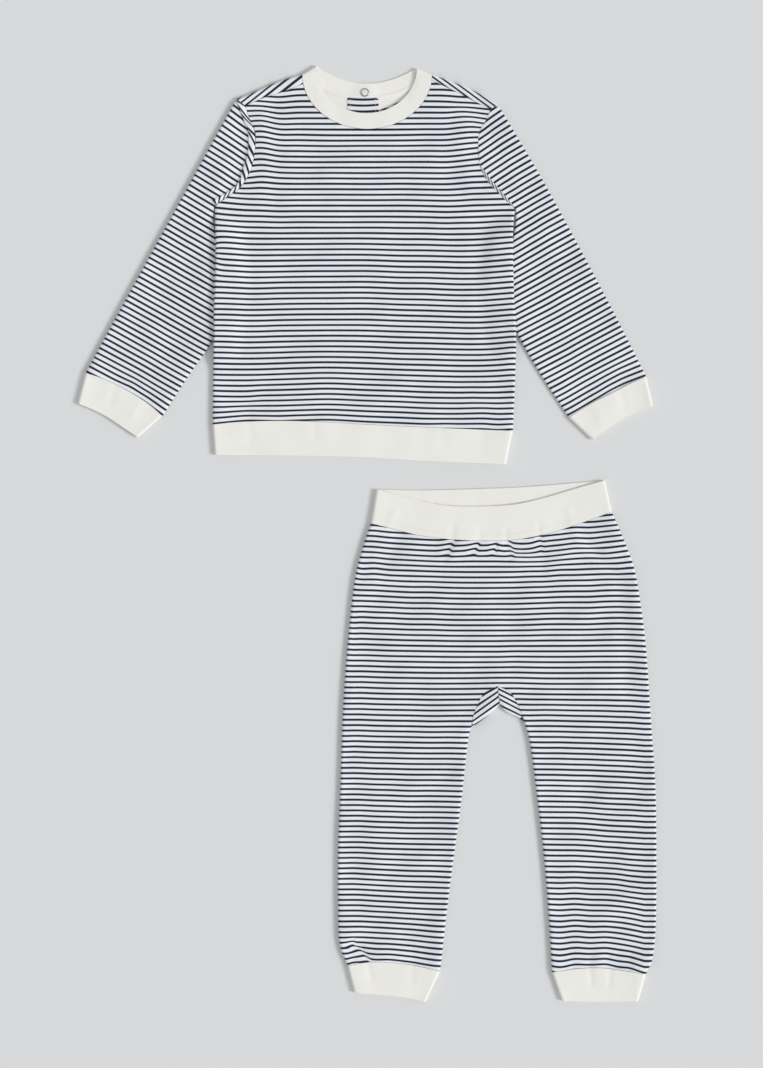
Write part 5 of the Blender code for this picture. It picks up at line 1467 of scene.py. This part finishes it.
def rib_knit():
    """Cream rib."""
    finish = Finish("cream_rib", 0.9, sheen=0.15)
    _, along, down = finish.knit()
    rib = finish.math("SINE", finish.math("MULTIPLY", along, 2 * math.pi / RIB_PITCH))
    row = finish.math("SINE", finish.math("MULTIPLY", down, 2 * math.pi / COURSE))
    height = finish.math("ADD", rib, finish.math("MULTIPLY", row, RIB_ROWS))
    ground = finish.mix(finish.ramp(finish.noise(45.0, 3.0), 0.3, 0.75, 0.0, 0.35), CREAM,
                        CREAM_TONE_AND_GROOVE_SHADE)
    # painted shade: the valleys between the ribs are mixed up to 7 per cent towards the darker cream
    ground = finish.mix(finish.ramp(rib, -1.0, 0.2, 0.07, 0.0), ground, CREAM_TONE_AND_GROOVE_SHADE)
    normal = finish.bump(finish.noise(160.0, 3.0), FUZZ_HEIGHT, FUZZ_STRENGTH)
    normal = finish.bump(height, RIB_HEIGHT, 0.3, normal)
    return finish.done(ground, normal)


def nickel():
    """Satin nickel with fine wear."""
    finish = Finish("satin_nickel", 0.34, metallic=1.0)
    wear = finish.ramp(finish.noise(900.0, 4.0), 0.4, 0.7)
    finish.link(finish.ramp(wear, 0.0, 1.0, 0.28, 0.42), finish.shader.inputs["Roughness"])
    return finish.done(finish.mix(wear, NICKEL, NICKEL_WORN),
                       finish.bump(finish.noise(2500.0), 0.00004, 0.3))


def pearl():
    """Milky plastic face of the snap."""
    finish = Finish("milky_plastic", 0.28, sheen=0.0)
    haze = finish.ramp(finish.noise(400.0, 3.0), 0.35, 0.7)
    return finish.done(finish.mix(haze, MILKY, MILKY_SHADE),
                       finish.bump(finish.noise(1500.0), 0.00003, 0.2))


def thread():
    """Spun cream thread."""
    finish = Finish("cream_thread", 0.8, sheen=0.2)
    twist = finish.ramp(finish.noise(2600.0, 2.0), 0.35, 0.65)
    return finish.done(finish.mix(twist, THREAD_CREAM, THREAD_SHADE),
                       finish.bump(finish.noise(3200.0), 0.00008, 0.5))


def paper():
    """The pale surface under the pyjamas."""
    finish = Finish("pale_surface", 0.95)
    return finish.done(finish.mix(finish.noise(6.0), FLOOR, FLOOR_SHADE),
                       finish.bump(finish.noise(500.0), 0.0002, 0.1))


# ---------------------------------------------------------------- the pyjamas


JERSEY_LOOK = jersey()
RIB_LOOK = rib_knit()
NICKEL_LOOK = nickel()
PEARL_LOOK = pearl()
THREAD_LOOK = thread()


def cloth(mesh, look, node):
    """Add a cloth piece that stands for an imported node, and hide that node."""
    piece = add_piece(mesh.name, mesh, look, (node,))
    return piece


def make_top():
    """The long-sleeved top."""
    back = cloth(top_back(), JERSEY_LOOK, "top_back")
    cloth(top_front(), JERSEY_LOOK, "top_front")
    mesh, lay = sleeve("left_sleeve", True, SLEEVE_OUTER_LEFT[::-1], SLEEVE_INNER_LEFT,
                       CUFF_SEAM_LEFT, SLEEVE_CREASES_LEFT, seed=31)
    fold = armhole_fold("left_armhole_fold", True, lay)
    fold = add_piece(fold.name, fold, JERSEY_LOOK)
    cloth(mesh, JERSEY_LOOK, "sleeve_left")
    mesh, lay = sleeve("right_sleeve", False, SLEEVE_OUTER_RIGHT, SLEEVE_INNER_RIGHT[::-1],
                       CUFF_SEAM_RIGHT, SLEEVE_CREASES_RIGHT, seed=37)
    fold = armhole_fold("right_armhole_fold", False, lay)
    fold = add_piece(fold.name, fold, JERSEY_LOOK)
    cloth(mesh, JERSEY_LOOK, "sleeve_right")
    cloth(plain_band("left_cuff", CUFF_EDGE_LEFT, CUFF_SEAM_LEFT, 2 * SLEEVE_STEPS_ACROSS, TOP_AT,
                     CUFF_CREASES_LEFT, seed=51), RIB_LOOK, "cuff_left")
    cloth(plain_band("right_cuff", CUFF_EDGE_RIGHT, CUFF_SEAM_RIGHT, 2 * SLEEVE_STEPS_ACROSS,
                     TOP_AT, CUFF_CREASES_RIGHT, seed=53), RIB_LOOK, "cuff_right")
    cloth(plain_band("hem_rib", HEM_EDGE, HEM_SEAM, BAND_STEPS_ACROSS, TOP_AT, HEM_CREASES, seed=57),
          RIB_LOOK, "hem_band")
    lining = neck_lining()
    lining = add_piece(lining.name, lining, RIB_LOOK)
    cloth(neckband(), RIB_LOOK, "neckband")
    for side, across in (("left", FACING_LEFT + FACING_STITCH_IN),
                         ("right", FACING_RIGHT - FACING_STITCH_IN)):
        rows = stitches(f"facing_stitches_{side}", [(across, down) for down in FACING_STITCHES],
                        lambda points: np.full(len(points), FACING_UNDER + FACING_WALL
                                               - STITCH_SUNK), TOP_AT)
        add_piece(rows.name, rows, THREAD_LOOK)
    cloth(facing(), JERSEY_LOOK, "placket_facing")
    add_piece("snap_socket", turned("snap_socket", RING_PROFILE, SNAP_BASE, ring=True),
              NICKEL_LOOK, ("snap_ring",))
    add_piece("snap_face", turned("snap_face", PEARL_PROFILE, SNAP_BASE), PEARL_LOOK,
              ("snap_pearl",))
    add_piece("snap_back", turned("snap_back", CAP_PROFILE, 0.0), NICKEL_LOOK,
              ("snap_cap",))


def make_trousers():
    """The pull-on trousers."""
    backs = [cloth(trousers_back(True), JERSEY_LOOK, "trousers_back_left"),
             cloth(trousers_back(False), JERSEY_LOOK, "trousers_back_right")]
    cloth(trousers_front(), JERSEY_LOOK, "trousers_front")
    path = moved(smooth(WAIST_SEAM_FRONT)[3:-3], -WAIST_STITCH_UP)
    rows = stitches("waist_stitches", path[::4], waist_top, TROUSERS_AT)
    rows = add_piece(rows.name, rows, THREAD_LOOK)
    cloth(waistband(), RIB_LOOK, "waistband")
    cloth(plain_band("left_ankle_rib", ANKLE_EDGE_LEFT, ANKLE_SEAM_LEFT, 2 * LEG_STEPS_ACROSS,
                     TROUSERS_AT, ANKLE_CREASES_LEFT, seed=61), RIB_LOOK, "ankle_cuff_left")
    cloth(plain_band("right_ankle_rib", ANKLE_EDGE_RIGHT, ANKLE_SEAM_RIGHT, 2 * LEG_STEPS_ACROSS,
                     TROUSERS_AT, ANKLE_CREASES_RIGHT, seed=67), RIB_LOOK, "ankle_cuff_right")


# ---------------------------------------------------------------- floor, light and camera


FLOOR_SIZE = 12.0
FLOOR_DROP = 0.0002     # keeps the floor just clear of the cloth's underside
VIEW_ACROSS = 0.0137    # the camera's offset from the middle of the pyjamas
VIEW_UP = -0.0004
VIEW_HEIGHT = 3.2
VIEW_FIELD = 1.0146     # what the camera sees from top to bottom
SENSOR = 0.036
KEY_TOWARDS = (0.76, -0.15, 0.62)
KEY_STRENGTH = 1.74
KEY_SOFTNESS = 20.0     # how wide the light looks, in degrees
SKY_STRENGTH = 0.580


def stage_scene():
    """The floor, a soft light from the right, even light all round, and the camera."""
    middle = (cad_low + cad_high) / 2
    half = FLOOR_SIZE / 2
    mesh = bpy.data.meshes.new("floor")
    mesh.from_pydata([(middle.x + x * half, middle.y + y * half, cad_low.z - FLOOR_DROP)
                      for x, y in ((-1, -1), (1, -1), (1, 1), (-1, 1))], [], [(0, 1, 2, 3)])
    mesh.materials.append(paper())
    floor = bpy.data.objects.new("floor", mesh)
    bpy.context.scene.collection.objects.link(floor)

    sun = bpy.data.lights.new("key", "SUN")
    sun.energy = KEY_STRENGTH
    sun.angle = math.radians(KEY_SOFTNESS)
    key = bpy.data.objects.new("key", sun)
    key.rotation_mode = "QUATERNION"
    key.rotation_quaternion = Vector(KEY_TOWARDS).to_track_quat("Z", "Y")
    bpy.context.scene.collection.objects.link(key)

    world = bpy.data.worlds.new("even_light")
    world.use_nodes = True
    world.node_tree.nodes["Background"].inputs["Color"].default_value = (0.97, 0.985, 1.0, 1.0)
    world.node_tree.nodes["Background"].inputs["Strength"].default_value = SKY_STRENGTH
    bpy.context.scene.world = world
    bpy.context.scene.view_settings.view_transform = "Standard"

    lens = bpy.data.cameras.new("camera")
    lens.type = "PERSP"
    lens.sensor_width = SENSOR / MM
    lens.lens = SENSOR / MM * VIEW_HEIGHT / VIEW_FIELD
    camera = bpy.data.objects.new("camera", lens)
    camera.location = (middle.x + VIEW_ACROSS, middle.y + VIEW_UP, cad_low.z + VIEW_HEIGHT)
    bpy.context.scene.collection.objects.link(camera)
    bpy.context.scene.camera = camera


make_top()
make_trousers()
stage_scene()
